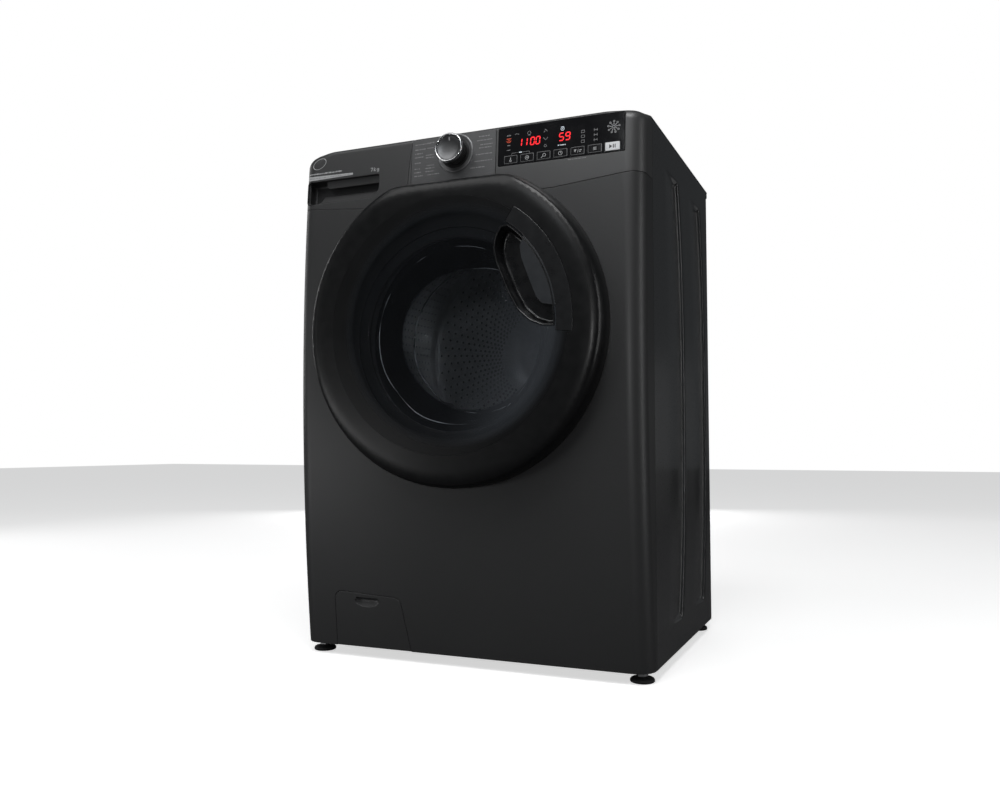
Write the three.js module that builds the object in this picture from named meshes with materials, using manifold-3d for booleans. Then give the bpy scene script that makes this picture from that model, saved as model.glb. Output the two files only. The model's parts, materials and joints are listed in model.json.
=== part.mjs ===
// Front load washing machine: a free-standing 600 x 850 mm laundry appliance.
// Millimetres, +Z up, front face towards -Y. The origin is on the floor, under the middle
// of the machine's bounding box.
import * as THREE from 'three';
import { mergeVertices } from 'three/addons/utils/BufferGeometryUtils.js';
import Module from 'manifold-3d';

const wasm = await Module();
wasm.setup();

// ---------------------------------------------------------------- driving dimensions
const HALF_WIDTH = 300;          // cabinet half width
const HEIGHT = 850;              // floor to worktop
const BASE = 17;                 // floor to underside of the cabinet
const FRONT = -243;              // foremost line of the front panel
const BACK = 262;                // outside of the rear panel
const OVERHANG = 285;            // rear edge of the worktop
const SIDE_SEAM = -178;          // where the front panel's side returns meet the side panels
const BOW_RADIUS = 4100;         // the whole front is a shallow vertical arc
const BOW_CENTRE = 530;          // height of the arc's foremost line
const CORNER = 28;               // radius of the vertical front corners
const SHEET = 1.2;               // steel sheet
const GAP = 0.4;                 // clearance between neighbouring pieces

const DOOR_Z = 533;              // centre of the door
const DOOR_RADIUS = 251;
const DOOR_TOP = DOOR_Z + 230.7; // the door's flat top edge
const DOOR_FRONT = -285;         // foremost line of the door
const DOOR_REAR = -225;          // depth the door is drawn to before the bowed front trims it
const DOOR_BACK_GAP = 1.2;       // door to front panel
const DOOR_CLEARANCE = 2.5;      // door's rim to the drawer front
const HINGE = { x: -245, y: -254 };
const AXIS_Z = 522;              // drum, tub, gasket and glass bowl share this axis
const MOUTH_RADIUS = 168;        // loading hole in the front panel

const SEAM_Z = 752;              // fascia to front panel seam, at the corners
const SEAM_LOW_Z = 740;          // the same seam behind the door
const SEAM_BEND = [160, 285];    // half widths between which the seam slopes
const DRAWER_SEAM = -90;         // drawer front to control panel
const FASCIA_WALL = 3;
const POCKET = { x0: -286, x1: -146.5, z0: 759, z1: 798.5, depth: 20 };

const DIAL = { x: -7, z: 816 };
const DIAL_PLATE = { x0: -86, x1: 64, z0: 770, z1: 846 };
const DISPLAY = { x0: 68.5, x1: 272.5, z0: 783.6, z1: 845.4 };
const BUTTON = { first: 90, pitch: 27.3, width: 22.5, z0: 786, z1: 799 };

const DRUM = { radius: 235, front: -160, back: 130, wall: 1.2, mouth: 165 };
const TUB = { radius: 248, wall: 4, front: -176, split: -20, back: 160, flange: 251 };
const SUMP = { half: 60, floor: 252, front: 0 };
const PULLEY = { radius: 138, y0: 192, y1: 206 };
const MOTOR = { x: 70, z: 175, radius: 58, y0: 40, y1: 185, pulley: 10 };
const SHAFT_RADIUS = 14.8;

const FOOT = { x: 278, front: -180, rear: 236, pad: 18.5 };
const FLAP = { left: -232.5, right: -93.5, topRight: -110, top: 109, topDrop: 7, corner: 12 };
const FILTER = { x: -165, z: 62 };
const SPRING = { x: 245, y: 100, low: 682, high: 798 };
const DAMPER = { x: 200, y: 40 };
const FINE = 48;                 // facets of the large circles
const COARSE = 16;               // facets of the small circles

// ---------------------------------------------------------------- solids
function signedVolume(position, index) {
  const a = new THREE.Vector3();
  const b = new THREE.Vector3();
  const c = new THREE.Vector3();
  let total = 0;
  for (let i = 0; i < index.count; i += 3) {
    a.fromBufferAttribute(position, index.getX(i));
    b.fromBufferAttribute(position, index.getX(i + 1));
    c.fromBufferAttribute(position, index.getX(i + 2));
    total += a.dot(b.cross(c));
  }
  return total;
}

// Turns a closed three.js geometry into a solid whose faces point out.
function solid(geometry) {
  geometry.deleteAttribute('normal');
  geometry.deleteAttribute('uv');
  const merged = mergeVertices(geometry, 1e-3);
  const triangles = new Uint32Array(merged.index.array);
  if (signedVolume(merged.attributes.position, merged.index) < 0) triangles.reverse();
  const vertProperties = new Float32Array(merged.attributes.position.array);
  return new wasm.Manifold(new wasm.Mesh({ numProp: 3, vertProperties, triVerts: triangles }));
}

function geometryOf(body) {
  const mesh = body.getMesh();
  const geometry = new THREE.BufferGeometry();
  geometry.setAttribute('position', new THREE.BufferAttribute(mesh.vertProperties, 3));
  geometry.setIndex(new THREE.BufferAttribute(mesh.triVerts, 1));
  geometry.computeVertexNormals();
  return geometry;
}

const join = (first, ...rest) => rest.reduce((sum, next) => sum.add(next), first);
const cut = (first, ...rest) => rest.reduce((left, next) => left.subtract(next), first);

function boxGeometry(x0, x1, y0, y1, z0, z1, zSteps = 1) {
  const geometry = new THREE.BoxGeometry(x1 - x0, y1 - y0, z1 - z0, 1, 1, zSteps);
  return geometry.translate((x0 + x1) / 2, (y0 + y1) / 2, (z0 + z1) / 2);
}

const box = (...sides) => solid(boxGeometry(...sides));

// An outline of [x, z] points, given its thickness from y0 to y1.
function plateGeometry(outline, y0, y1, steps = 1) {
  const shape = new THREE.Shape(outline.map(([x, z]) => new THREE.Vector2(x, z)));
  const geometry = new THREE.ExtrudeGeometry(shape, { depth: y1 - y0, bevelEnabled: false, steps });
  return geometry.rotateX(Math.PI / 2).translate(0, y1, 0);
}

const plate = (outline, y0, y1) => solid(plateGeometry(outline, y0, y1));

// A cylinder along X, Y or Z through the point (x, y, z), of the given half length.
function rod(axis, radius, halfLength, x, y, z, facets = COARSE) {
  const geometry = new THREE.CylinderGeometry(radius, radius, 2 * halfLength, facets);
  if (axis === 'x') geometry.rotateZ(Math.PI / 2);
  if (axis === 'z') geometry.rotateX(Math.PI / 2);
  return solid(geometry.translate(x, y, z));
}

// A closed profile of [radius, y] points turned round an axis along Y at (x, z).
function turned(profile, x, z, facets = FINE) {
  const points = profile.map(([radius, y]) => new THREE.Vector2(radius, y));
  if (profile[0][0] > 0 || profile[profile.length - 1][0] > 0) points.push(points[0].clone());
  return solid(new THREE.LatheGeometry(points, facets).translate(x, 0, z));
}

// Points of a circular arc in the XZ plane, angles in degrees from +X towards +Z.
function arc(x, z, radius, from, to, steps) {
  const points = [];
  for (let i = 0; i <= steps; i += 1) {
    const angle = THREE.MathUtils.degToRad(from + ((to - from) * i) / steps);
    points.push([x + radius * Math.cos(angle), z + radius * Math.sin(angle)]);
  }
  return points;
}

// Moves every side of a closed outline out by distance, keeping its corners sharp.
function offset(outline, distance) {
  const area = outline.reduce((sum, [x, z], i) => {
    const [nextX, nextZ] = outline[(i + 1) % outline.length];
    return sum + x * nextZ - nextX * z;
  }, 0);
  const normals = outline.map(([x, z], i) => {
    const [nextX, nextZ] = outline[(i + 1) % outline.length];
    const length = Math.hypot(nextX - x, nextZ - z) * Math.sign(area);
    return [(nextZ - z) / length, (x - nextX) / length];
  });
  return outline.map(([x, z], i) => {
    const [ax, az] = normals[(i + outline.length - 1) % outline.length];
    const [bx, bz] = normals[i];
    const scale = distance / (1 + ax * bx + az * bz);
    return [x + (ax + bx) * scale, z + (az + bz) * scale];
  });
}

// ---------------------------------------------------------------- the bowed front
const bow = (z) => (z - BOW_CENTRE) ** 2 / (2 * BOW_RADIUS);

// Bends a geometry with the front; the bend fades out towards the side seams.
function bend(geometry, fadeFrom = FRONT + CORNER) {
  const position = geometry.attributes.position;
  for (let i = 0; i < position.count; i += 1) {
    const y = position.getY(i);
    const share = THREE.MathUtils.clamp((SIDE_SEAM - y) / (SIDE_SEAM - fadeFrom), 0, 1);
    position.setY(i, y + share * bow(position.getZ(i)));
  }
  return geometry;
}

// A block that is bent as the front is, whatever its depth.
function bowedBox(x0, x1, y0, y1, z0, z1) {
  const geometry = boxGeometry(x0, x1, y0, y1, z0, z1, Math.ceil((z1 - z0) / 40));
  const position = geometry.attributes.position;
  for (let i = 0; i < position.count; i += 1) {
    position.setY(i, position.getY(i) + bow(position.getZ(i)));
  }
  return solid(geometry);
}

// Plan outline of the U-shaped shell: flat front, round corners, straight side returns.
function shellOutline(inset) {
  const half = HALF_WIDTH - inset;
  const radius = CORNER - inset;
  const front = FRONT + CORNER;
  const left = arc(-HALF_WIDTH + CORNER, front, radius, 180, 270, 6);
  const right = arc(HALF_WIDTH - CORNER, front, radius, 270, 360, 6);
  return [[-half, SIDE_SEAM], ...left, ...right, [half, SIDE_SEAM]];
}

function bowedShell(z0, z1, wall, steps) {
  const outline = [...shellOutline(0), ...shellOutline(wall).reverse()];
  const shape = new THREE.Shape(outline.map(([x, y]) => new THREE.Vector2(x, y)));
  const options = { depth: z1 - z0, steps, bevelEnabled: false };
  return solid(bend(new THREE.ExtrudeGeometry(shape, options).translate(0, 0, z0)));
}

function bowedLid(z0, z1) {
  const shape = new THREE.Shape(shellOutline(1).map(([x, y]) => new THREE.Vector2(x, y)));
  const options = { depth: z1 - z0, bevelEnabled: false };
  return solid(bend(new THREE.ExtrudeGeometry(shape, options).translate(0, 0, z0)));
}

// Everything below the fascia's seam, which is a shallow V, moved up by shift.
function belowSeam(shift) {
  const high = SEAM_Z + shift;
  const low = SEAM_LOW_Z + shift;
  const [inner, outer] = SEAM_BEND;
  const side = HALF_WIDTH + 20;
  const seam = [[side, high], [outer, high], [inner, low], [-inner, low], [-outer, high]];
  return plate([[-side, 0], [side, 0], ...seam, [-side, high]], -300, -100);
}

// ---------------------------------------------------------------- materials and parts
const group = new THREE.Group();

const FINISHES = {
  graphite: { color: 0x2c2d2f, roughness: 0.4, metalness: 0.6 },
  black_paint: { color: 0x17181a, roughness: 0.45, metalness: 0.4 },
  black_gloss: { color: 0x08090a, roughness: 0.12, metalness: 0.1 },
  black_plastic: { color: 0x111214, roughness: 0.6, metalness: 0.0 },
  grey_plastic: { color: 0x8c9094, roughness: 0.6, metalness: 0.0 },
  silver: { color: 0xb9bcc0, roughness: 0.3, metalness: 0.7 },
  glass: { color: 0x5b6a78, roughness: 0.05, metalness: 0.0 },
  rubber: { color: 0x3a3c3f, roughness: 0.85, metalness: 0.0 },
  steel: { color: 0xa9adb1, roughness: 0.3, metalness: 1.0 },
  concrete: { color: 0x8f8e8a, roughness: 0.95, metalness: 0.0 },
};

function part(name, body, finish) {
  const mesh = new THREE.Mesh(geometryOf(body), new THREE.MeshStandardMaterial(FINISHES[finish]));
  mesh.name = name;
  group.add(mesh);
  return mesh;
}

// ---------------------------------------------------------------- cabinet
function makeSidePanel(side) {
  const inner = HALF_WIDTH - SHEET;
  const x = (a, b) => (side < 0 ? [-b, -a] : [a, b]);
  const skin = box(...x(inner, HALF_WIDTH), SIDE_SEAM + GAP, BACK, BASE, HEIGHT - 3.4);
  const tabLow = SPRING.high + 2;
  const tabSides = [SPRING.y - 6, SPRING.y + 6, tabLow, tabLow + 5];
  const springTab = box(...x(SPRING.x - 14, inner + 0.5), ...tabSides);
  const frontFlange = box(...x(inner - 10, inner + 0.5), SIDE_SEAM + GAP, SIDE_SEAM + 1.6, 60, 735);
  const name = side < 0 ? 'left_side_panel' : 'right_side_panel';
  part(name, join(skin, springTab, frontFlange), 'black_paint');
}

function makeRearPanel() {
  const half = HALF_WIDTH - SHEET - GAP;
  const drain = { x: -235, z: 560 };
  const mains = { x: 225, z: 110 };
  const skin = box(-half, half, BACK - SHEET, BACK, BASE + 3, 835);
  const bulge = box(-150, 150, BACK - 1, BACK + 9, 330, 700);
  const bulgeInside = box(-148.5, 148.5, BACK - 3, BACK + 7.5, 331.5, 698.5);
  const drainCollar = rod('y', 21, 6, drain.x, BACK + 5, drain.z);
  const mainsGland = rod('y', 11, 7, mains.x, BACK + 6, mains.z);
  const drainHole = rod('y', 13, 20, drain.x, BACK, drain.z);
  const valveHole = rod('y', 16, 20, 225, BACK, 785);
  const body = join(skin, bulge, drainCollar, mainsGland);
  part('rear_panel', cut(body, bulgeInside, drainHole, valveHole), 'steel');
}

function makeTopCover() {
  const board = box(-298.2, 298.2, SIDE_SEAM + GAP, BACK + 2, 837, 848);
  const lip = box(-HALF_WIDTH, HALF_WIDTH, SIDE_SEAM + GAP, OVERHANG, HEIGHT - 3, HEIGHT);
  const rearTrim = box(-HALF_WIDTH, HALF_WIDTH, BACK + GAP, OVERHANG, 838, HEIGHT);
  part('top_cover', join(board, lip, rearTrim), 'black_plastic');
}

function makeBaseTray() {
  const half = HALF_WIDTH - 6;
  const [front, back] = [-192, BACK - SHEET - GAP];
  const outside = box(-half, half, front, back, BASE, 45);
  const inside = box(-half + 3, half - 3, front + 3, back - 3, BASE + 3, 60);
  const studs = [-FOOT.x, FOOT.x].flatMap((x) => [FOOT.front, FOOT.rear].map((y) =>
    rod('z', 6, 20, x, y, BASE)));
  const filterNotch = rod('y', 36, 20, FILTER.x, front, FILTER.z);
  part('base_tray', cut(outside, inside, filterNotch, ...studs), 'black_plastic');
}

function makeFoot(name, x, y) {
  const pad = rod('z', FOOT.pad, 4, x, y, 4);
  const nut = rod('z', 9, 3.5, x, y, 11, 6);
  const stud = rod('z', 5, 24, x, y, 31, 12);
  part(name, join(pad, nut, stud), 'rubber');
}

// The service flap's outline, with every side moved out by grow.
function flapOutline(grow, bottom) {
  const { left, right, topRight, top, topDrop, corner } = FLAP;
  const radius = corner + grow;
  const topRightZ = top - topDrop;
  const lean = (right - topRight) / (topRightZ - BASE);
  const bottomRight = right + grow + lean * (BASE - bottom);
  const leftCorner = arc(left + corner, top - corner, radius, 180, 94, 5);
  const rightCorner = arc(topRight - corner, topRightZ - corner, radius, 86, 12, 5);
  return [[left - grow, bottom], ...leftCorner, ...rightCorner, [bottomRight, bottom]];
}

function makeFrontPanel() {
  const shell = bowedShell(BASE, SEAM_Z, SHEET, 14);
  const aboveSeam = cut(box(-320, 320, -299, -101, 500, 900), belowSeam(-GAP));
  const mouth = rod('y', MOUTH_RADIUS, 60, 0, FRONT, AXIS_Z, FINE);
  const flapHole = plate(flapOutline(GAP, 0), -260, -190);
  const hookSlot = box(206, 238, -260, -220, 518, 548);
  const bottomReturn = box(-270, 270, -210.4, -196, BASE, BASE + SHEET);
  const panel = join(cut(shell, aboveSeam), bottomReturn);
  part('front_panel', cut(panel, mouth, flapHole, hookSlot), 'graphite');
}

function makeFilterFlap() {
  const leaf = bowedShell(BASE + 0.6, 140, 2.5, 4).intersect(plate(flapOutline(0, BASE), -260, -190));
  const pin = rod('x', 2.2, 50, -163, -208.2, 21, 10);
  part('filter_flap', join(leaf, pin), 'graphite');
}

// ---------------------------------------------------------------- fascia
function fasciaShell() {
  const walls = bowedShell(SEAM_LOW_Z, HEIGHT, FASCIA_WALL, 4);
  const lid = bowedLid(HEIGHT - FASCIA_WALL, HEIGHT);
  return cut(join(walls, lid), belowSeam(0));
}

// The disc behind the door, which the drawer front leaves to the control panel so that it
// can slide out past the closed door.
function doorZone(grow) {
  const disc = rod('y', DOOR_RADIUS + DOOR_CLEARANCE + grow, 100, 0, -200, DOOR_Z, FINE);
  return disc.intersect(box(-300, 300, -300, -100, 600, DOOR_TOP + DOOR_CLEARANCE + grow));
}

function makeControlPanel(shell) {
  const { x0, x1, z0, z1 } = DISPLAY;
  const plateSeat = bowedBox(DIAL_PLATE.x0 - GAP, DIAL_PLATE.x1 + GAP, FRONT - 3, FRONT + 1.9,
    DIAL_PLATE.z0 - GAP, DIAL_PLATE.z1 + GAP);
  const window = bowedBox(x0 - GAP, x1 + GAP, FRONT - 5, FRONT + 8, z0 - GAP, z1 + GAP);
  const dialHole = rod('y', 9, 20, DIAL.x, FRONT, DIAL.z);
  const drawerSide = cut(box(-400, DRAWER_SEAM + GAP, -300, -100, 700, 900), doorZone(0));
  part('control_panel', cut(shell, drawerSide, plateSeat, window, dialHole), 'graphite');
}

function makeDialPlate() {
  const { x0, x1, z0, z1 } = DIAL_PLATE;
  const leaf = bowedBox(x0, x1, FRONT, FRONT + 1.5, z0, z1);
  part('dial_plate', cut(leaf, rod('y', 9, 20, DIAL.x, FRONT, DIAL.z)), 'graphite');
}

function makeDisplay() {
  const { x0, x1, z0, z1 } = DISPLAY;
  const holes = buttonCentres().map((x) => bowedBox(x - BUTTON.width / 2 - GAP,
    x + BUTTON.width / 2 + GAP, FRONT - 5, FRONT + 8, BUTTON.z0 - GAP, BUTTON.z1 + GAP));
  part('display_window', cut(bowedBox(x0, x1, FRONT, FRONT + 3, z0, z1), ...holes), 'black_gloss');
}

const BUTTON_NAMES = ['button_temperature', 'button_spin_speed', 'button_soil_level',
  'button_delay_start', 'button_options', 'button_extra_rinse', 'start_pause_button'];

function buttonCentres() {
  return BUTTON_NAMES.map((name, i) => BUTTON.first + i * BUTTON.pitch);
}

function makeButtons() {
  buttonCentres().forEach((x, i) => {
    const body = bowedBox(x - BUTTON.width / 2, x + BUTTON.width / 2, FRONT - 0.5, FRONT + 7,
      BUTTON.z0, BUTTON.z1);
    part(BUTTON_NAMES[i], body, i === BUTTON_NAMES.length - 1 ? 'silver' : 'black_gloss');
  });
}

function makeControlBoard() {
  part('control_board', box(74, 266, -222, -204, 784, 840), 'black_plastic');
}

// The programme dial stands square to the leaning fascia. Its profile starts at the fascia.
function makeDial() {
  const profile = [[0, 24], [19, 24], [22, 26], [24, 25], [24, 21], [22.5, 18], [21, 1],
    [8, 1], [8, -10], [0, -10]].map(([radius, out]) => [radius, -out]);
  const dial = part('dial_knob', turned(profile, 0, 0, 32), 'silver');
  dial.position.set(DIAL.x, FRONT + bow(DIAL.z), DIAL.z);
  dial.rotation.x = -Math.atan((DIAL.z - BOW_CENTRE) / BOW_RADIUS);
}

// ---------------------------------------------------------------- detergent drawer
function makeDrawerFront(shell) {
  const { x0, x1, z0, z1, depth } = POCKET;
  const panelSide = join(box(DRAWER_SEAM, 400, -300, -100, 700, 900), doorZone(GAP));
  const bucket = bowedBox(x0 - 2, x1 + 2, FRONT + 1, FRONT + depth + 2, z0 - 2, z1 + 2);
  const hollow = bowedBox(x0, x1, FRONT - 5, FRONT + depth, z0, z1);
  part('drawer_front', cut(join(cut(shell, panelSide), bucket), hollow), 'graphite');
}

function makeDrawerTray() {
  const [x0, x1, y0, y1, z0, z1] = [-280, -114, -211, 46, 761, 824];
  const walls = [-215, -165].map((x) => box(x, x + 2, y0 + 1, y1 - 1, z0 + 1, z1 - 8));
  const outside = box(x0, x1, y0, y1, z0, z1);
  const inside = box(x0 + 2, x1 - 2, y0 + 2, y1 - 2, z0 + 2, z1 + 10);
  part('drawer_tray', join(cut(outside, inside), ...walls), 'grey_plastic');
}

function makeDrawerHousing() {
  const [x0, x1, y0, y1, z0, z1] = [-286, -109, -200, 52, 756.5, 832];
  const outside = box(x0, x1, y0, y1, z0, z1);
  const inside = box(x0 + 2.5, x1 - 2.5, y0 - 5, y1 - 2.5, z0 + 2.5, z1 - 2.5);
  const inlet = rod('y', 9, 12, -130, y1 + 8, 815, 12);
  part('drawer_housing', join(cut(outside, inside), inlet), 'grey_plastic');
}

// ---------------------------------------------------------------- door
// Front view of the lever: the arc band and the grip plate that fingers pull on.
function handleOutline(grow) {
  const grip = [[124.5, 644], [127, 626], [140, 592], [151, 566], [160, 556]];
  return offset([...arc(0, DOOR_Z, 207, -5.5, 56, 14), ...arc(0, DOOR_Z, 182, 56, 44, 3), ...grip,
    ...arc(0, DOOR_Z, 182, 6, -5.5, 3)], grow);
}

// Front view of the finger recess that runs beside and under the lever.
function recessOutline(grow) {
  const left = [[93, 677], [85, 664], [81, 644], [86, 622], [104, 578], [120, 549], [140, 531],
    [160, 523]];
  return offset([...left, ...arc(0, DOOR_Z, 180, -3.5, 54, 12)], grow);
}

function doorEnvelope(shrink) {
  const outside = [[0, DOOR_FRONT], [215, DOOR_FRONT], [236, -283], [244, -277], [249, -263],
    [DOOR_RADIUS, -250], [DOOR_RADIUS, DOOR_REAR], [0, DOOR_REAR]];
  const profile = outside.map(([radius, y]) =>
    [Math.max(radius - shrink, 0), y + (y === DOOR_REAR ? 2 * shrink : shrink)]);
  const top = box(-320, 320, -320, -190, 200, DOOR_TOP - shrink);
  return turned(profile, 0, DOOR_Z).intersect(top);
}

// The space behind the door's back face, which follows the bowed front.
const behindDoor = () => bowedBox(-320, 320, FRONT - DOOR_BACK_GAP, -150, 200, 800);

function makeDoorFrame() {
  const wall = 3.2;
  const opening = rod('y', 200.4, 100, 0, -250, DOOR_Z, FINE);
  const hingeNotch = box(-260, -226, -262, -200, DOOR_Z - 32, DOOR_Z + 32);
  const leverHole = plate(handleOutline(GAP), -300, -262);
  const recessHole = plate(recessOutline(GAP), -300, -262);
  const ring = cut(doorEnvelope(0), doorEnvelope(wall), opening);
  part('door_frame', cut(ring, hingeNotch, leverHole, recessHole, behindDoor()), 'black_gloss');
}

function makeDoorWindow() {
  const profile = [[0, -284.9], [120, -284.4], [200, -283.2], [200, -280.2], [120, -281.4], [0, -281.9]];
  const disc = turned(profile, 0, DOOR_Z);
  const leverHole = plate(handleOutline(GAP), -300, -262);
  const recessHole = plate(recessOutline(GAP), -300, -262);
  part('door_window', cut(disc, leverHole, recessHole), 'glass');
}

function makeDoorHandle() {
  part('door_handle', plate(handleOutline(0), -284, -279), 'black_gloss');
}

function makeHandleRecess() {
  const outside = plate(recessOutline(0), -283.4, -257.2);
  const inside = plate(recessOutline(-2.2), -300, -259.2);
  const underLever = plate(handleOutline(3), -300, -273.4);
  part('handle_recess', cut(outside, inside, underLever), 'black_gloss');
}

function makeDoorInnerRing() {
  const plateRing = cut(rod('y', 246.4, 2, 0, -248.4, DOOR_Z, FINE), box(-320, 320, -300, -200, 759, 900));
  const bowl = rod('y', 152, 20, 0, -248, AXIS_Z, FINE);
  const hingeNotch = box(-260, -236, -300, -200, DOOR_Z - 33, DOOR_Z + 33);
  const hookSlot = box(203, 236, -300, -200, 519, 547);
  const tongue = box(HINGE.x, -228, HINGE.y, -246.5, DOOR_Z - 9, DOOR_Z + 9);
  const knuckle = rod('z', 4.5, 9, HINGE.x, HINGE.y, DOOR_Z, 16);
  const pinHole = rod('z', 2.4, 20, HINGE.x, HINGE.y, DOOR_Z, 12);
  const ring = cut(plateRing, bowl, hingeNotch, hookSlot);
  part('door_inner_ring', cut(join(ring, tongue, knuckle), pinHole), 'grey_plastic');
}

function makeDoorHinge() {
  const leaf = box(-248, -206, -245.6, FRONT - 0.5, DOOR_Z - 30, DOOR_Z + 30);
  const knuckles = [-1, 1].map((side) => {
    const z = DOOR_Z + side * 20;
    const barrel = rod('z', 4.5, 10, HINGE.x, HINGE.y, z, 16);
    const arm = box(HINGE.x - 4.5, HINGE.x + 1, HINGE.y, -244.5, z - 10, z + 10);
    return join(barrel, arm);
  });
  const pin = rod('z', 2, 29, HINGE.x, HINGE.y, DOOR_Z, 16);
  part('door_hinge', join(leaf, ...knuckles, pin), 'steel');
}

function makeDoorGlass() {
  const profile = [[170, -256.4], [170, -251], [151, -251], [146, -220], [139, -180],
    [125, -150], [95, -134], [0, -126], [0, -131], [93, -139], [121.5, -154], [134.5, -182],
    [146, -256.4]];
  part('door_glass', turned(profile, 0, AXIS_Z, 40), 'glass');
}

function makeLatch() {
  const foot = box(208, 232, -262, -251.2, 522, 544);
  const shank = box(213, 224, -255, -226, 526, 540);
  const barb = box(220, 230, -233, -226, 526, 540);
  part('latch_hook', join(foot, shank, barb), 'steel');
  const lockBody = box(202, 252, -239.4, -206, 500, 566);
  part('door_lock', cut(lockBody, box(207, 239, -250, -214, 519, 547)), 'black_plastic');
}

function makeGasket() {
  const profile = [[156, -236], [170, -236], [170, -225], [186, -214], [186, -203], [171, -193],
    [171, -177], [167, -177], [167, -194], [182, -204], [182, -212], [159, -222], [156, -226]];
  part('door_gasket', turned(profile, 0, AXIS_Z, 36), 'rubber');
}

// ---------------------------------------------------------------- drum
function makeDrum() {
  const { radius, front, back, wall, mouth } = DRUM;
  const profile = [[0, back], [radius, back], [radius, front], [mouth + 2, front], [mouth + 2, front - 5],
    [mouth, front - 5], [mouth, front + wall], [radius - wall, front + wall],
    [radius - wall, back - wall], [0, back - wall]];
  part('drum_shell', turned(profile, 0, AXIS_Z), 'steel');
}

function makeLifters() {
  const seat = DRUM.radius - DRUM.wall - 3 * GAP;
  const halfAngle = 9;
  const foot = arc(0, 0, seat, 90 - halfAngle, 90 + halfAngle, 3);
  const crest = arc(0, seat - 42, 8, 180, 360, 5);
  [90, 210, 330].forEach((angle, i) => {
    const geometry = plateGeometry([...foot, ...crest], -135, 105);
    const lifter = part(`drum_lifter_${i + 1}`, solid(geometry), 'grey_plastic');
    lifter.position.z = AXIS_Z;
    lifter.rotation.y = -THREE.MathUtils.degToRad(angle - 90);
  });
}

function makeDrumShaft() {
  const hub = rod('y', 45, 11, 0, DRUM.back + GAP + 11, AXIS_Z);
  const arms = [0, 1, 2].map((i) => {
    const geometry = boxGeometry(-14, 14, DRUM.back + GAP, DRUM.back + 20, 30, 215);
    geometry.rotateY((i * 2 * Math.PI) / 3);
    return solid(geometry.translate(0, 0, AXIS_Z));
  });
  const shaft = rod('y', SHAFT_RADIUS, 40, 0, DRUM.back + GAP + 42, AXIS_Z, 24);
  part('drum_shaft', join(hub, shaft, ...arms), 'steel');
}

function makeDrumPulley() {
  const { radius, y0, y1 } = PULLEY;
  const profile = [[SHAFT_RADIUS + GAP, y0], [28, y0], [28, y0 + 5], [radius - 10, y0 + 5],
    [radius - 10, y0], [radius, y0], [radius, y1], [SHAFT_RADIUS + GAP, y1]];
  part('drum_pulley', turned(profile, 0, AXIS_Z, 36), 'steel');
}

// ---------------------------------------------------------------- tub and what hangs on it
function makeTubFront() {
  const { radius, wall, front, split, flange } = TUB;
  const profile = [[172, front], [radius, front], [radius, split - 5], [flange, split - 5], [flange, split],
    [radius - wall, split], [radius - wall, front + wall], [172, front + wall]];
  part('tub_front', turned(profile, 0, AXIS_Z), 'grey_plastic');
}

function makeTubRear() {
  const { radius, wall, split, back, flange } = TUB;
  const open = split + GAP;
  const outside = turned([[0, open], [flange, open], [flange, open + 5], [radius, open + 5], [radius, back],
    [40, back], [40, back + 26], [0, back + 26]], 0, AXIS_Z);
  const inside = turned([[0, open - 10], [radius - wall, open - 10], [radius - wall, back - wall],
    [0, back - wall]], 0, AXIS_Z);
  const { half, floor, front } = SUMP;
  const sump = box(-half, half, front, back, floor, 330);
  const sumpInside = box(-half + 3, half - 3, front + 3, back - 3, floor + 3, 330);
  const bearing = rod('y', SHAFT_RADIUS + GAP, 60, 0, back, AXIS_Z, 24);
  const heaterHole = box(-27, 27, back - 10, back + 10, 257.6, 274.4);
  const lugs = [-1, 1].flatMap((side) => [
    box(...order(side * 195, side * (SPRING.x + 12)), SPRING.y - 8, SPRING.y + 8,
      SPRING.low - 14, SPRING.low - 2),
    box(...order(side * 185, side * 215), DAMPER.y - 12, DAMPER.y + 12, 352, 384),
  ]);
  const shell = cut(join(outside, sump, ...lugs), inside, sumpInside, bearing, heaterHole);
  part('tub_rear', shell, 'grey_plastic');
}

const order = (a, b) => (a < b ? [a, b] : [b, a]);

function makeCounterweights() {
  const ring = [[190, TUB.front - GAP], [190, -202], [243, -202], [243, TUB.front - GAP]];
  part('front_counterweight', turned(ring, 0, AXIS_Z, 36), 'concrete');
  part('top_counterweight', box(-85, 175, -60, 140, 777, 824), 'concrete');
}

function makeHeater() {
  const z = 266;
  const path = new THREE.CurvePath();
  const legs = [[-16, TUB.back + 2, z], [-16, 30, z], [0, 16, z], [16, 30, z], [16, TUB.back + 2, z]];
  path.add(new THREE.CatmullRomCurve3(legs.map((p) => new THREE.Vector3(...p)), false, 'catmullrom', 0.2));
  const section = new THREE.Shape(arc(0, 0, 4, 0, 300, 5).map(([x, y]) => new THREE.Vector2(x, y)));
  const options = { steps: 24, bevelEnabled: false, extrudePath: path.curves[0] };
  const bar = solid(new THREE.ExtrudeGeometry(section, options));
  const plug = box(-26.5, 26.5, TUB.back - 6, TUB.back + 10, 258.1, 273.9);
  part('heater_element', join(bar, plug), 'steel');
}

function makeMotor() {
  const { x, z, radius, y0, y1, pulley } = MOTOR;
  const can = rod('y', radius, (y1 - y0) / 2, x, (y0 + y1) / 2, z, 32);
  const bracket = box(x - 28, x + 28, y0 + 30, y1 - 40, z + 40, SUMP.floor - GAP);
  const shaftHole = rod('y', 5.5, 12, x, y1, z, 16);
  part('motor', cut(join(can, bracket), shaftHole), 'steel');
  const wheel = rod('y', pulley, (PULLEY.y1 - PULLEY.y0) / 2, x, (PULLEY.y0 + PULLEY.y1) / 2, z, 24);
  const shaft = rod('y', 5, 14, x, y1 + 4, z, 16);
  part('motor_pulley', join(wheel, shaft), 'steel');
}

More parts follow.
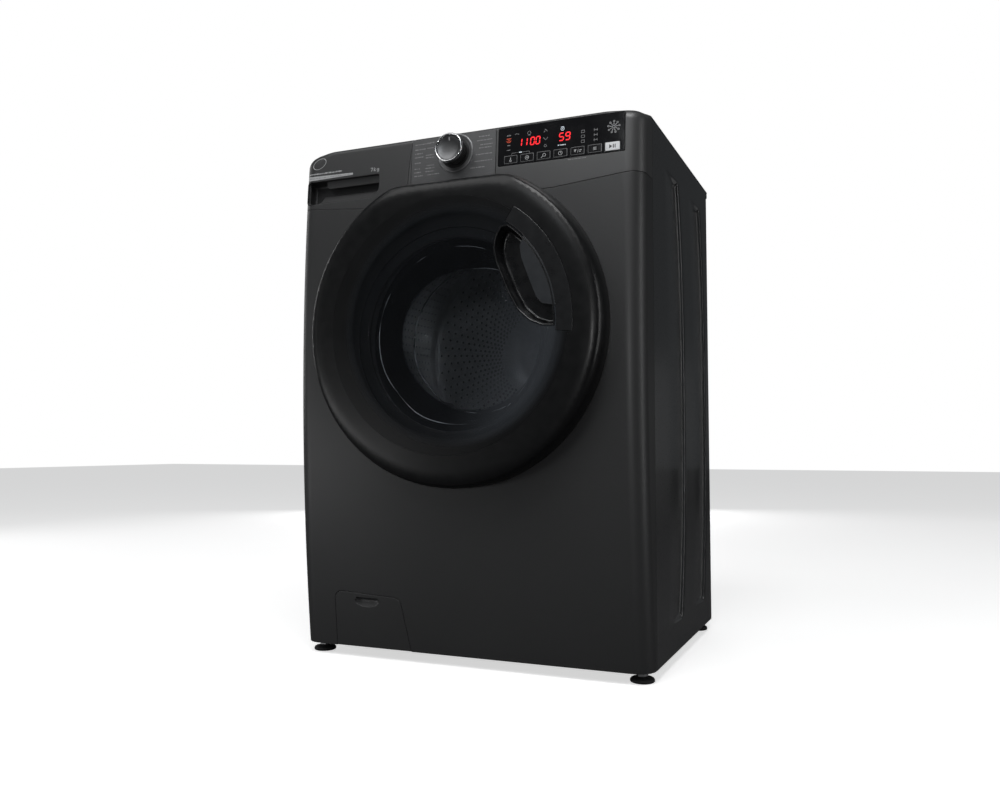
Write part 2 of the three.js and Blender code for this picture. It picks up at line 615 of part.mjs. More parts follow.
// The belt's path: two circles and their outer tangents, in the XZ plane.
function beltOutline(grow) {
  const big = PULLEY.radius + grow;
  const small = MOTOR.pulley + grow;
  const dx = MOTOR.x;
  const dz = MOTOR.z - AXIS_Z;
  const along = THREE.MathUtils.radToDeg(Math.atan2(dz, dx));
  const spread = THREE.MathUtils.radToDeg(Math.acos((big - small) / Math.hypot(dx, dz)));
  return [...arc(0, AXIS_Z, big, along + spread, along + 360 - spread, 30),
    ...arc(MOTOR.x, MOTOR.z, small, along - spread, along + spread, 5)];
}

function makeBelt() {
  const [y0, y1] = [PULLEY.y0 + 1, PULLEY.y1 - 1];
  const inside = plate(beltOutline(0.5), y0 - 5, y1 + 5);
  part('drive_belt', cut(plate(beltOutline(2.5), y0, y1), inside), 'rubber');
}

class Helix extends THREE.Curve {
  constructor(x, y, z0, z1, radius, turns) {
    super();
    Object.assign(this, { x, y, z0, z1, radius, turns });
  }

  getPoint(t, target = new THREE.Vector3()) {
    const angle = 2 * Math.PI * this.turns * t;
    return target.set(this.x + this.radius * Math.cos(angle), this.y + this.radius * Math.sin(angle),
      this.z0 + (this.z1 - this.z0) * t);
  }
}

function makeSpring(name, x) {
  const section = new THREE.Shape(arc(0, 0, 1.7, 0, 270, 3).map(([u, v]) => new THREE.Vector2(u, v)));
  const extrudePath = new Helix(x, SPRING.y, SPRING.low + 2.5, SPRING.high - 2.5, 11, 6);
  const coil = new THREE.ExtrudeGeometry(section, { steps: 54, bevelEnabled: false, extrudePath });
  part(name, solid(coil), 'steel');
}

function makeDamper(side, x) {
  const barrel = rod('z', 13, 96, x, DAMPER.y, 146);
  const bore = rod('z', 6, 96, x, DAMPER.y, 160, 16);
  const eye = box(x - 12, x + 12, DAMPER.y - 14, DAMPER.y + 14, BASE + 3.5, 56);
  part(`damper_cylinder_${side}`, cut(join(barrel, eye), bore), 'black_plastic');
  part(`damper_rod_${side}`, rod('z', 5, 75.8, x, DAMPER.y, 275.8, 12), 'steel');
}

// ---------------------------------------------------------------- pump, valve, hose
function makePump() {
  const { x, z } = FILTER;
  const sleeve = rod('y', 34, 52, x, -145, z, 24);
  const motor = rod('y', 30, 40, x, -60, z, 24);
  const bore = rod('y', 29, 50, x, -155, z, 24);
  const legs = [-20, 20].map((dx) => box(x + dx - 5, x + dx + 5, -150, -40, BASE + 3.5, z - 15));
  const inlet = rod('z', 15, 12, x, -85, z + 32, 16);
  part('drain_pump', cut(join(sleeve, motor, ...legs, inlet), bore), 'grey_plastic');
}

function makePumpFilter() {
  const { x, z } = FILTER;
  const cap = rod('y', 32, 3, x, -200.5, z, 24);
  const plug = rod('y', 28, 42, x, -156, z, 24);
  const grip = box(x - 24, x + 24, -209, -200, z - 4, z + 4);
  part('pump_filter', join(cap, plug, grip), 'grey_plastic');
}

function makeSumpHose() {
  const points = [[-35, 30, SUMP.floor - 2], [-36, 29, 232], [-60, 15, 195], [-120, -45, 160],
    [FILTER.x + 2, -84, 130], [FILTER.x, -85, FILTER.z + 46]];
  const extrudePath = new THREE.CatmullRomCurve3(points.map((p) => new THREE.Vector3(...p)));
  const section = arc(0, 0, 13, 0, 315, 7).map(([x, y]) => new THREE.Vector2(x, y));
  const options = { steps: 14, bevelEnabled: false, extrudePath };
  part('sump_hose', solid(new THREE.ExtrudeGeometry(new THREE.Shape(section), options)), 'rubber');
}

function makeInletValve() {
  const [x, z] = [225, 785];
  const thread = rod('y', 13.2, 24, x, BACK - 4, z, 24);
  const coil = box(x - 16, x + 16, 200, 240, z - 18, z + 18);
  const bore = rod('y', 9, 20, x, BACK + 10, z, 16);
  part('inlet_valve', cut(join(thread, coil), bore), 'grey_plastic');
}

// ---------------------------------------------------------------- assembly
makeSidePanel(-1);
makeSidePanel(1);
makeRearPanel();
makeTopCover();
makeBaseTray();
makeFrontPanel();
makeFilterFlap();
makeFoot('foot_front_left', -FOOT.x, FOOT.front);
makeFoot('foot_front_right', FOOT.x, FOOT.front);
makeFoot('foot_rear_left', -FOOT.x, FOOT.rear);
makeFoot('foot_rear_right', FOOT.x, FOOT.rear);

const fascia = fasciaShell();
makeControlPanel(fascia);
makeDialPlate();
makeDisplay();
makeButtons();
makeControlBoard();
makeDial();
makeDrawerFront(fascia);
makeDrawerTray();
makeDrawerHousing();

makeDoorFrame();
makeDoorWindow();
makeDoorHandle();
makeHandleRecess();
makeDoorInnerRing();
makeDoorHinge();
makeDoorGlass();
makeLatch();
makeGasket();

makeDrum();
makeLifters();
makeDrumShaft();
makeDrumPulley();
makeTubFront();
makeTubRear();
makeCounterweights();
makeHeater();
makeMotor();
makeBelt();
makeSpring('suspension_spring_left', -SPRING.x);
makeSpring('suspension_spring_right', SPRING.x);
makeDamper('left', -DAMPER.x);
makeDamper('right', DAMPER.x);
makePump();
makePumpFilter();
makeSumpHose();
makeInletValve();

export default group;
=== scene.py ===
# Front load washing machine: the looks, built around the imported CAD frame.
# Shapes are drawn in millimetres and stored in metres, in the CAD's own frame.
import json
import math
import random

import bmesh
import bpy
import numpy as np
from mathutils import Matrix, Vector
from mathutils.geometry import delaunay_2d_cdt


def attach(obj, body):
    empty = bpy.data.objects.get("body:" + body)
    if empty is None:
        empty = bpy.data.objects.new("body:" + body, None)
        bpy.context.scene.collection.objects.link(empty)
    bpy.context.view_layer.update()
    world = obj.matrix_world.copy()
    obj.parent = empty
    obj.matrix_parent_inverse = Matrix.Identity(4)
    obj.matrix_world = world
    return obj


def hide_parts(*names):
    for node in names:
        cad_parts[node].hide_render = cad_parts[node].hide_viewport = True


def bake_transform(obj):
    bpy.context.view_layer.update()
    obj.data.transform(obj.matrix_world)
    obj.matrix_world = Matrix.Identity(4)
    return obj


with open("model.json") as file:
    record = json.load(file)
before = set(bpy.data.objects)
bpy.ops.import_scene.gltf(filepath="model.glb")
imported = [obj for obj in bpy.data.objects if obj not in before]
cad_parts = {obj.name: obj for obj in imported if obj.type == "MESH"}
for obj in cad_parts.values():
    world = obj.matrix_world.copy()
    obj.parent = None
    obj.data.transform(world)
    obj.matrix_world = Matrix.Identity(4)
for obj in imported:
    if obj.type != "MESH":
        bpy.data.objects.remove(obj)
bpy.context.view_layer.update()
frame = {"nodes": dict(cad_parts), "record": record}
NODES = frame["nodes"]
MM = 0.001
rng = random.Random(7)

# ------------------------------------------------------------------ driving dimensions (mm)
HALF, HEIGHT, BASE = 300.0, 850.0, 17.0
FRONT, SIDE_SEAM, REAR_FACE = -243.0, -178.0, 262.05
BOW_RADIUS, BOW_Z, CORNER = 4100.0, 530.0, 28.0
DOOR_Z, DOOR_R, DOOR_TOP, DOOR_FACE = 533.0, 251.0, 763.7, -284.9
WINDOW_R, MOUTH_R, AXIS_Z = 200.0, 168.0, 522.0
SEAM_HIGH, SEAM_LOW = 752.0, 740.0
SHEET, WALL, GAP = 1.2, 2.6, 0.4
FLAP_LEFT, FLAP_RIGHT, FLAP_LEAN = -232.5, -93.5, 16.5 / 85
PLATE_X, PLATE_LOW, PLATE_HIGH = (-86.0, 64.0), 770.0, 845.6
SCREEN_X, SCREEN_LOW, SCREEN_HIGH = (68.5, 272.5), 783.6, 845.0
KEY_X = [90 + 27.3 * i for i in range(7)]
KEY_HALF, KEY_LOW, KEY_HIGH = 11.25, 786.0, 799.0


# ------------------------------------------------------------------ outlines in the plane
def arc(cx, cz, r, a0, a1, n):
    a = np.radians(np.linspace(a0, a1, n + 1))
    return np.column_stack([cx + r * np.cos(a), cz + r * np.sin(a)])


def circle(cx, cz, r, n):
    return arc(cx, cz, r, 0, 360, n)[:-1]


def dense(points, step):
    """The closed outline with every side cut into pieces no longer than step."""
    out = []
    pts = np.asarray(points, float)
    for a, b in zip(pts, np.roll(pts, -1, 0)):
        n = max(1, int(math.ceil(np.linalg.norm(b - a) / step)))
        out += [a + (b - a) * i / n for i in range(n)]
    return np.array(out)


def rounded(points, radii, n=6):
    """The closed outline with each corner turned into an arc of its radius."""
    pts = np.asarray(points, float)
    radii = [radii] * len(pts) if np.isscalar(radii) else radii
    out = []
    for i, p in enumerate(pts):
        a, b, r = pts[i - 1], pts[(i + 1) % len(pts)], radii[i]
        da, db = (a - p) / np.linalg.norm(a - p), (b - p) / np.linalg.norm(b - p)
        half = math.acos(np.clip(da @ db, -1, 1)) / 2
        if r <= 0 or half > math.radians(89):
            out.append(p)
            continue
        t = r / math.tan(half)
        c = p + (da + db) / np.linalg.norm(da + db) * (r / math.sin(half))
        s, e = p + da * t - c, p + db * t - c
        a0 = math.atan2(s[1], s[0])
        turn = (math.atan2(e[1], e[0]) - a0 + math.pi) % (2 * math.pi) - math.pi
        out += [c + r * np.array([math.cos(a0 + turn * k / n), math.sin(a0 + turn * k / n)])
                for k in range(n + 1)]
    return np.array(out)


def box2d(x0, x1, z0, z1, r=0.0, n=5):
    return rounded([(x0, z0), (x1, z0), (x1, z1), (x0, z1)], r, n)


def inside(poly, pts):
    poly, pts = np.asarray(poly, float), np.atleast_2d(np.asarray(pts, float))
    hit = np.zeros(len(pts), bool)
    x, z = pts[:, 0], pts[:, 1]
    for (x0, z0), (x1, z1) in zip(poly, np.roll(poly, -1, 0)):
        if z0 != z1:
            cross = (z0 > z) != (z1 > z)
            hit ^= cross & (x < (x1 - x0) * (z - z0) / (z1 - z0) + x0)
    return hit


def area(p):
    q = np.roll(p, -1, 0)
    return (p[:, 0] * q[:, 1] - q[:, 0] * p[:, 1]).sum() / 2


def constrained(loops, extra=()):
    """Delaunay triangles over the plane that keep the loops' sides and the extra points."""
    verts, edges = [], []
    for loop in loops:
        k = len(verts)
        verts += [Vector(p) for p in loop]
        edges += [(k + i, k + (i + 1) % len(loop)) for i in range(len(loop))]
    verts += [Vector(p) for p in extra]
    return delaunay_2d_cdt(verts, edges, [], 0, 1e-7)


def region(keep, *loops):
    """The outlines of the part of the plane where keep(points) is true; loops are its possible edges."""
    out = constrained(loops)
    co = np.array([tuple(v) for v in out[0]])
    tri = np.array(out[2])
    tri = tri[keep(co[tri].mean(1))]
    flip = np.cross(co[tri[:, 1]] - co[tri[:, 0]], co[tri[:, 2]] - co[tri[:, 0]]) < 0
    tri[flip] = tri[flip][:, ::-1]
    half = {(int(t[i]), int(t[(i + 1) % 3])) for t in tri for i in range(3)}
    nxt = {a: b for a, b in half if (b, a) not in half}
    found = []
    while nxt:
        a, b = nxt.popitem()
        loop = [a]
        while b != a:
            loop.append(b)
            b = nxt.pop(b)
        pts = co[loop]
        far = np.linalg.norm(pts - np.roll(pts, 1, 0), axis=1) > 0.02
        found.append(pts[far])
    return sorted(found, key=lambda p: -abs(area(p)))


def within(loops, pts):
    """True for the points inside the first loop and outside all the others."""
    ok = inside(loops[0], pts)
    for hole in loops[1:]:
        ok &= ~inside(hole, pts)
    return ok


def minus(outer, *cutters):
    """The outlines of what is left of outer, the largest first."""
    return region(lambda p: within((outer, *cutters), p), outer, *cutters)


def inward(loop):
    """Unit inset of each corner, towards the material: left of the way round."""
    p = np.asarray(loop, float)
    d0 = p - np.roll(p, 1, 0)
    d0 /= np.linalg.norm(d0, axis=1)[:, None]
    d1 = np.roll(d0, -1, 0)
    n0, n1 = np.column_stack([-d0[:, 1], d0[:, 0]]), np.column_stack([-d1[:, 1], d1[:, 0]])
    return (n0 + n1) / np.maximum(1 + (n0 * n1).sum(1), 0.35)[:, None]


# ------------------------------------------------------------------ surfaces
def bow(z):
    return (z - BOW_Z) ** 2 / (2 * BOW_RADIUS)


def front_plane(p):
    """Front face of the machine, x and z to a point."""
    return np.column_stack([p[:, 0], FRONT + bow(p[:, 1]), p[:, 1]])


def set_back(depth):
    """The front face moved into the machine."""
    return lambda p: front_plane(p) + [0, depth, 0]


def level_at(z):
    return lambda p: np.column_stack([p[:, 0], p[:, 1], np.full(len(p), z)])


def upright_at(y):
    return lambda p: np.column_stack([p[:, 0], np.full(len(p), y), p[:, 1]])


def wrap(p):
    """The front shell: p[0] runs round the plan's U shape, p[1] is the height."""
    u, z = p[:, 0], p[:, 1]
    a, s = np.abs(u), np.sign(u)
    flat, turn = HALF - CORNER, CORNER * math.pi / 2
    t = np.clip((a - flat) / CORNER, 0, math.pi / 2)
    x = np.minimum(a, flat) + CORNER * np.sin(t)
    y = FRONT + CORNER - CORNER * np.cos(t) + np.maximum(a - flat - turn, 0)
    share = np.clip((SIDE_SEAM - y) / (SIDE_SEAM - FRONT - CORNER), 0, 1)
    return np.column_stack([s * x, y + share * bow(z), z])


U_END = HALF - CORNER + CORNER * math.pi / 2 + (SIDE_SEAM - FRONT - CORNER)


def top_radius(u):
    """Radius of the fascia's top edge: small in front, full at the corner, sharp at the side seam."""
    a = np.abs(u)
    grow = np.clip((a - 236) / 50, 0, 1)
    fade = np.clip((U_END - a) / 48, 0, 1)
    full = np.where(u < 0, 17.0, 11.0)
    return 1.2 + (5.8 + full * grow * grow * (3 - 2 * grow)) * (fade * fade * (3 - 2 * fade))


def fascia(p):
    """The front shell with its top edge rolled over; heights past the roll's start run along it."""
    u, v = p[:, 0], p[:, 1]
    r = top_radius(u)
    z0 = HEIGHT - r
    turn = np.clip((v - z0) / r, 0, math.pi / 2)
    z = np.minimum(v, z0) + r * np.sin(turn)
    base = wrap(np.column_stack([u, z]))
    side = wrap(np.column_stack([u + 0.05, z])) - wrap(np.column_stack([u - 0.05, z]))
    n = np.column_stack([-side[:, 1], side[:, 0]])
    n /= np.linalg.norm(n, axis=1)[:, None]
    base[:, :2] += n * (r * (1 - np.cos(turn)))[:, None]
    return base


def normals(surface, p, h=0.02):
    """Unit normals of the surface, into the machine."""
    du = surface(p + [h, 0]) - surface(p - [h, 0])
    dv = surface(p + [0, h]) - surface(p - [0, h])
    n = np.cross(dv, du)
    return n / np.linalg.norm(n, axis=1)[:, None]


# ------------------------------------------------------------------ meshes
def finish_mesh(name, verts, faces, material, body, node=(), slot=None, sharp=32.0,
                weighted=True, smooth=True):
    """A mesh object, drawn in mm and stored in m, that rides a body and may replace a CAD node."""
    mesh = bpy.data.meshes.new(name)
    mesh.from_pydata((np.asarray(verts, float) * MM).tolist(), [], [list(map(int, f)) for f in faces])
    mesh.validate()
    bm = bmesh.new()
    bm.from_mesh(mesh)
    bmesh.ops.recalc_face_normals(bm, faces=bm.faces)
    bm.to_mesh(mesh)
    bm.free()
    mesh.polygons.foreach_set("use_smooth", [smooth] * len(mesh.polygons))
    if smooth:
        mesh.set_sharp_from_angle(angle=math.radians(sharp))
    obj = bpy.data.objects.new(name, mesh)
    bpy.context.scene.collection.objects.link(obj)
    mesh.materials.append(material)
    if weighted and smooth:
        m = obj.modifiers.new("weighted", "WEIGHTED_NORMAL")
        m.keep_sharp = True
    if body:
        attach(obj, body)
    node = (node,) if isinstance(node, str) else node
    if node:
        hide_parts(*node)
    return obj


class Build:
    """Collects the closed bodies of one piece."""

    def __init__(self):
        self.verts, self.faces = [], []

    def add(self, verts, faces):
        k = len(self.verts)
        self.verts += [tuple(v) for v in verts]
        self.faces += [[k + i for i in f] for f in faces]
        return self

    def make(self, name, material, body, node=(), slot=None, **options):
        return finish_mesh(name, self.verts, self.faces, material, body, node, slot, **options)


def grid_between(us, vs):
    """Points at all crossings of two rows of values."""
    return np.array([(u, v) for u in us for v in vs], float)


def skin(loops, surface, thick, pts=(), rings=None, hole_rings=None, near=2.0):
    """A closed plate on a surface. Its first loop is the outside, the others are holes.
    rings lead from the front face round the edge to the back face, each (inset, depth), where depth
    may also be a function that gives the points. hole_rings serves all holes, or has a list for each."""
    rings = rings or [(0.6, 0), (0.3, 0.08), (0.08, 0.3), (0, 0.6), (0, thick)]
    hole_rings = hole_rings or rings
    if isinstance(hole_rings[0], tuple):
        hole_rings = [hole_rings] * (len(loops) - 1)
    loops = [np.asarray(l, float) for l in loops]
    loops = [l if (area(l) > 0) == (i == 0) else l[::-1] for i, l in enumerate(loops)]
    insets = [inward(l) for l in loops]
    plans = [rings, *hole_rings]
    first = [l + n * plan[0][0] for l, n, plan in zip(loops, insets, plans)]
    pts = np.asarray(pts, float).reshape(-1, 2)
    if len(pts):
        pts = pts[within(first, pts)]
    if len(pts):
        edge = np.concatenate(first)
        far = np.ones(len(pts), bool)
        for start in range(0, len(edge), 400):
            d = np.linalg.norm(pts[:, None] - edge[None, start:start + 400], axis=2).min(1)
            far &= d > near
        pts = pts[far]
    out = constrained(first, pts)
    co = np.array([tuple(v) for v in out[0]])
    tri = np.array(out[2])
    tri = tri[within(first, co[tri].mean(1))]
    where = {src: k for k, olds in enumerate(out[3]) for src in olds}

    def place(p, depth):
        if callable(depth):
            return depth(p)
        return surface(p) + normals(surface, p) * depth

    build = [*surface(co), *place(co, thick)]
    face_list = [list(t) for t in tri]
    back_at = np.arange(len(co)) + len(co)
    base = 0
    for loop, ins, plan in zip(loops, insets, plans):
        count = len(loop)
        rows = [[where[base + i] for i in range(count)]]
        for inset, depth in plan[1:]:
            k = len(build)
            build += [*place(loop + ins * inset, depth)]
            rows.append(list(range(k, k + count)))
        for i, at in enumerate(rows[0]):
            back_at[at] = rows[-1][i]
        for a, b in zip(rows, rows[1:]):
            face_list += [[a[i], b[i], b[(i + 1) % count], a[(i + 1) % count]] for i in range(count)]
        base += count
    face_list += [[int(back_at[i]) for i in t[::-1]] for t in tri]
    used = sorted({i for f in face_list for i in f})
    remap = {old: new for new, old in enumerate(used)}
    return [build[i] for i in used], [[remap[i] for i in f] for f in face_list]


def lathe(profile, cx, cz, n=96):
    """Turns a closed profile of [radius, y] points round an axis along Y."""
    rings, verts, faces = [], [], []
    ang = np.linspace(0, 2 * math.pi, n, endpoint=False)
    for r, y in profile:
        k = len(verts)
        if r < 1e-6:
            verts.append((cx, y, cz))
            rings.append([k] * n)
        else:
            verts += [(cx + r * math.cos(a), y, cz + r * math.sin(a)) for a in ang]
            rings.append(list(range(k, k + n)))
    for a, b in zip(rings, rings[1:] + rings[:1]):
        for i in range(n):
            j = (i + 1) % n
            face = [a[i], a[j], b[j], b[i]]
            face = [f for q, f in enumerate(face) if f not in face[:q]]
            if len(face) > 2:
                faces.append(face)
    return verts, faces


def tube(path, r, n=10):
    """A closed round bar along a path of points."""
    path = [Vector(p) for p in path]
    verts, faces = [], []
    up = Vector((0, 0, 1))
    for i, p in enumerate(path):
        d = (path[min(i + 1, len(path) - 1)] - path[max(i - 1, 0)]).normalized()
        side = d.cross(up)
        side = side.normalized() if side.length > 1e-3 else d.cross(Vector((1, 0, 0))).normalized()
        up = side.cross(d).normalized()
        verts += [p + (side * math.cos(2 * math.pi * k / n) + up * math.sin(2 * math.pi * k / n)) * r
                  for k in range(n)]
    for i in range(len(path) - 1):
        a, b = i * n, (i + 1) * n
        faces += [[a + k, a + (k + 1) % n, b + (k + 1) % n, b + k] for k in range(n)]
    faces += [list(range(n))[::-1], list(range(len(verts) - n, len(verts)))]
    return [tuple(v) for v in verts], faces


# ------------------------------------------------------------------ materials
class Nodes:
    """Short calls for building a material's nodes."""

    def __init__(self, name):
        self.mat = bpy.data.materials.new(name)
        self.mat.use_nodes = True
        self.tree = self.mat.node_tree
        self.tree.nodes.clear()
        self.out = self.tree.nodes.new("ShaderNodeOutputMaterial")
        self.place = self.tree.nodes.new("ShaderNodeTexCoord").outputs["Object"]

    def node(self, kind, links=None, **settings):
        n = self.tree.nodes.new("ShaderNode" + kind)
        for k, v in settings.items():
            setattr(n, k, v)
        for k, v in (links or {}).items():
            if isinstance(v, bpy.types.NodeSocket):
                self.tree.links.new(v, n.inputs[k])
            else:
                n.inputs[k].default_value = v
        return n

    def stretched(self, scale):
        return self.node("Mapping", {"Vector": self.place, "Scale": scale}).outputs[0]

    def noise(self, scale, detail=3.0, stretch=None, rough=0.5):
        at = self.stretched(stretch) if stretch else self.place
        return self.node("TexNoise", {"Vector": at, "Scale": scale, "Detail": detail,
                                      "Roughness": rough}).outputs["Fac"]

    def ramp(self, value, low, high, to_low=0.0, to_high=1.0, smooth=False):
        return self.node("MapRange", {0: value, 1: low, 2: high, 3: to_low, 4: to_high},
                         interpolation_type="SMOOTHSTEP" if smooth else "LINEAR").outputs[0]

    def colours(self, value, a, b, low=0.35, high=0.65):
        n = self.node("ValToRGB", {"Fac": value})
        n.color_ramp.elements[0].position, n.color_ramp.elements[1].position = low, high
        n.color_ramp.elements[0].color, n.color_ramp.elements[1].color = (*a, 1), (*b, 1)
        return n.outputs[0]

    def mix(self, factor, a, b):
        n = self.node("Mix", {0: factor}, data_type="RGBA")
        for at, c in ((6, a), (7, b)):
            if isinstance(c, bpy.types.NodeSocket):
                self.tree.links.new(c, n.inputs[at])
            else:
                n.inputs[at].default_value = (*c, 1)
        return n.outputs[2]

    def math(self, kind, a, b=0.0):
        return self.node("Math", {0: a, 1: b}, operation=kind).outputs[0]

    def bump(self, height, strength, distance, under=None):
        links = {"Height": height, "Strength": strength, "Distance": distance * MM}
        if under is not None:
            links["Normal"] = under
        return self.node("Bump", links).outputs[0]

    def finish(self, shader):
        self.tree.links.new(shader, self.out.inputs["Surface"])
        return self.mat


def shade(name, base, dark=None, rough=(0.4, 0.5), metal=0.0, coat=0.0, coat_rough=0.05, specular=0.5,
          mottle=6.0, grain=0.0, grain_bump=0.0, stretch=None, fine=0.0, fine_bump=0.0, wear=0.0):
    """Satin, moulded or rolled surfaces: slow colour drift, a grain in colour, roughness and height."""
    m = Nodes(name)
    dark = dark or tuple(c * 0.8 for c in base)
    slow = m.noise(mottle, 3.0)
    colour = m.colours(slow, dark, base, 0.3, 0.7)
    normal = None
    height = m.noise(grain or 120.0, 2.0, stretch)
    colour = m.mix(m.ramp(height, 0.3, 0.7, 0.0, 0.35), colour, tuple(min(1, c * 1.25 + 0.004) for c in base))
    if grain_bump:
        normal = m.bump(height, grain_bump, 0.4)
    if fine:
        normal = m.bump(m.noise(fine, 1.0), fine_bump, 0.1, normal)
    if wear:
        edge = m.ramp(m.node("NewGeometry").outputs["Pointiness"], 0.52, 0.62)
        colour = m.mix(m.math("MULTIPLY", edge, wear), colour, tuple(min(1, c * 2 + 0.05) for c in base))
    links = {"Base Color": colour, "Roughness": m.ramp(height, 0.25, 0.75, *rough), "Metallic": metal,
             "Coat Weight": coat, "Coat Roughness": coat_rough, "Specular IOR Level": specular}
    if normal is not None:
        links["Normal"] = normal
    return m.finish(m.node("BsdfPrincipled", links).outputs[0])


def brushed(name, base, rough, stretch, bump, metal=1.0):
    """Metal with fine lines, drawn out the way that stretch says."""
    m = Nodes(name)
    lines = m.noise(60.0, 4.0, stretch, 0.7)
    cloud = m.noise(9.0, 3.0)
    colour = m.colours(lines, tuple(c * 0.72 for c in base), base, 0.3, 0.7)
    colour = m.mix(m.ramp(cloud, 0.35, 0.7, 0.0, 0.3), colour, tuple(c * 0.8 for c in base))
    links = {"Base Color": colour, "Roughness": m.ramp(lines, 0.2, 0.8, *rough), "Metallic": metal,
             "Normal": m.bump(lines, bump, 0.05)}
    return m.finish(m.node("BsdfPrincipled", links).outputs[0])


BLACK_EDGE = (0.005, 0.0052, 0.0056)


def pane(name, tint, border, reflect, body, rough, specular=0.5):
    """Thin glass: see-through with a tint and haze, a mirror by its angle. With a border (two radii
    round the door's axis) it also has a black printed edge, wider towards the left, and a painted reflection:
    a lighter, glossier sweep towards the right."""
    m = Nodes(name)
    ripple = m.noise(18.0, 2.0)
    colour = m.colours(m.noise(40.0), body, tuple(c * 1.2 for c in body))
    clear = m.node("BsdfTransparent", {"Color": m.colours(ripple, tint,
                                                          tuple(min(1, c * 1.03) for c in tint))})
    fac = m.ramp(m.node("Fresnel", {"IOR": 1.5}).outputs[0], 0.04, 1.0, *reflect)
    if border:
        split = m.node("SeparateXYZ", {"Vector": m.place})
        dx = split.outputs[0]
        dz = m.math("SUBTRACT", split.outputs[2], DOOR_Z * MM)
        r = m.math("SQRT", m.math("ADD", m.math("MULTIPLY", dx, dx), m.math("MULTIPLY", dz, dz)))
        clear_side = m.math("MULTIPLY", m.math("ADD", dx, 0.2), 0.06)
        edge = m.ramp(m.math("SUBTRACT", r, clear_side), border[0] * MM, border[1] * MM, smooth=True)
        # painted reflection: a lighter, glossier sweep over the right of the window that fades out towards
        # its rim
        slant = m.math("SUBTRACT", dx, m.math("MULTIPLY", dz, 0.35))
        painted_reflection = m.math("MULTIPLY", m.ramp(slant, 0.04, 0.18, smooth=True),
                       m.ramp(r, 0.180, 0.199, 1.0, 0.0, smooth=True))
        fac = m.math("ADD", fac, m.math("MULTIPLY", painted_reflection, 0.22))
        fac = m.math("MAXIMUM", fac, edge)
        colour = m.mix(painted_reflection, colour, tuple(min(1, c * 4.0) for c in body))
        colour = m.mix(edge, colour, BLACK_EDGE)
    gloss = m.node("BsdfPrincipled", {
        "Base Color": colour, "Roughness": m.ramp(ripple, 0.3, 0.7, rough, rough * 1.2),
        "Specular IOR Level": specular, "Normal": m.bump(ripple, 0.04, 0.3)}).outputs[0]
    return m.finish(m.node("MixShader", {0: fac, 1: clear.outputs[0], 2: gloss}).outputs[0])


def glint(name, patch):
    """Painted highlights for the bowl's rings: a near-white colour, broken by noise into bright lines, stands
    in for light that glass ribs reflect.
    """
    m = Nodes(name)
    colour = m.colours(m.noise(patch, 1.0), (0.014, 0.016, 0.018), (0.80, 0.84, 0.88), 0.5, 0.64)
    return m.finish(m.node("BsdfPrincipled", {
        "Base Color": colour, "Roughness": m.ramp(m.noise(220.0), 0.3, 0.7, 0.12, 0.24),
        "Coat Weight": 0.5}).outputs[0])


def glow(name, colour, strength, off=(0.02, 0.0, 0.0)):
    """A lit print, with the colour that it has when it is off."""
    m = Nodes(name)
    n = m.noise(900.0, 1.0)
    hot = tuple(min(1, c * 1.2 + 0.004) for c in colour)
    return m.finish(m.node("BsdfPrincipled", {
        "Base Color": (*off, 1), "Roughness": 0.35, "Emission Color": m.colours(n, colour, hot),
        "Emission Strength": strength}).outputs[0])


GRAPHITE = shade("graphite_paint", (0.056, 0.0565, 0.0575), (0.047, 0.0474, 0.0482), (0.44, 0.52), 0.6,
                 coat=0.12, coat_rough=0.3, mottle=3.5, grain=900.0, grain_bump=0.03, fine=2600.0,
                 fine_bump=0.05)
FASCIA = shade("graphite_fascia", (0.082, 0.0825, 0.0835), (0.072, 0.0725, 0.0735), (0.42, 0.5), 0.6,
               coat=0.12, coat_rough=0.3, mottle=4.0, grain=1100.0, grain_bump=0.03, fine=3000.0,
               fine_bump=0.05)
DRAWER_GREY = shade("drawer_graphite", (0.066, 0.0665, 0.0675), (0.057, 0.0575, 0.0582), (0.42, 0.5), 0.6,
                    coat=0.1, coat_rough=0.3, mottle=4.0, grain=1100.0, grain_bump=0.03)
PLATE = brushed("brushed_plate", (0.14, 0.141, 0.144), (0.34, 0.46), (1, 1, 26), 0.06, 0.7)
SIDE_PAINT = shade("black_side_paint", (0.024, 0.0244, 0.0252), (0.019, 0.0194, 0.0202), (0.26, 0.34), 0.25,
                   coat=0.5, coat_rough=0.09, mottle=3.0, grain=420.0, grain_bump=0.035, fine=1500.0,
                   fine_bump=0.04)
REAR = shade("rear_sheet", (0.075, 0.0765, 0.079), None, (0.35, 0.5), 0.4, mottle=8.0, grain=260.0,
             grain_bump=0.03)
WORKTOP = shade("worktop", (0.024, 0.0245, 0.0255), None, (0.42, 0.55), 0.0, mottle=5.0, grain=700.0,
                grain_bump=0.22, fine=2200.0, fine_bump=0.2)
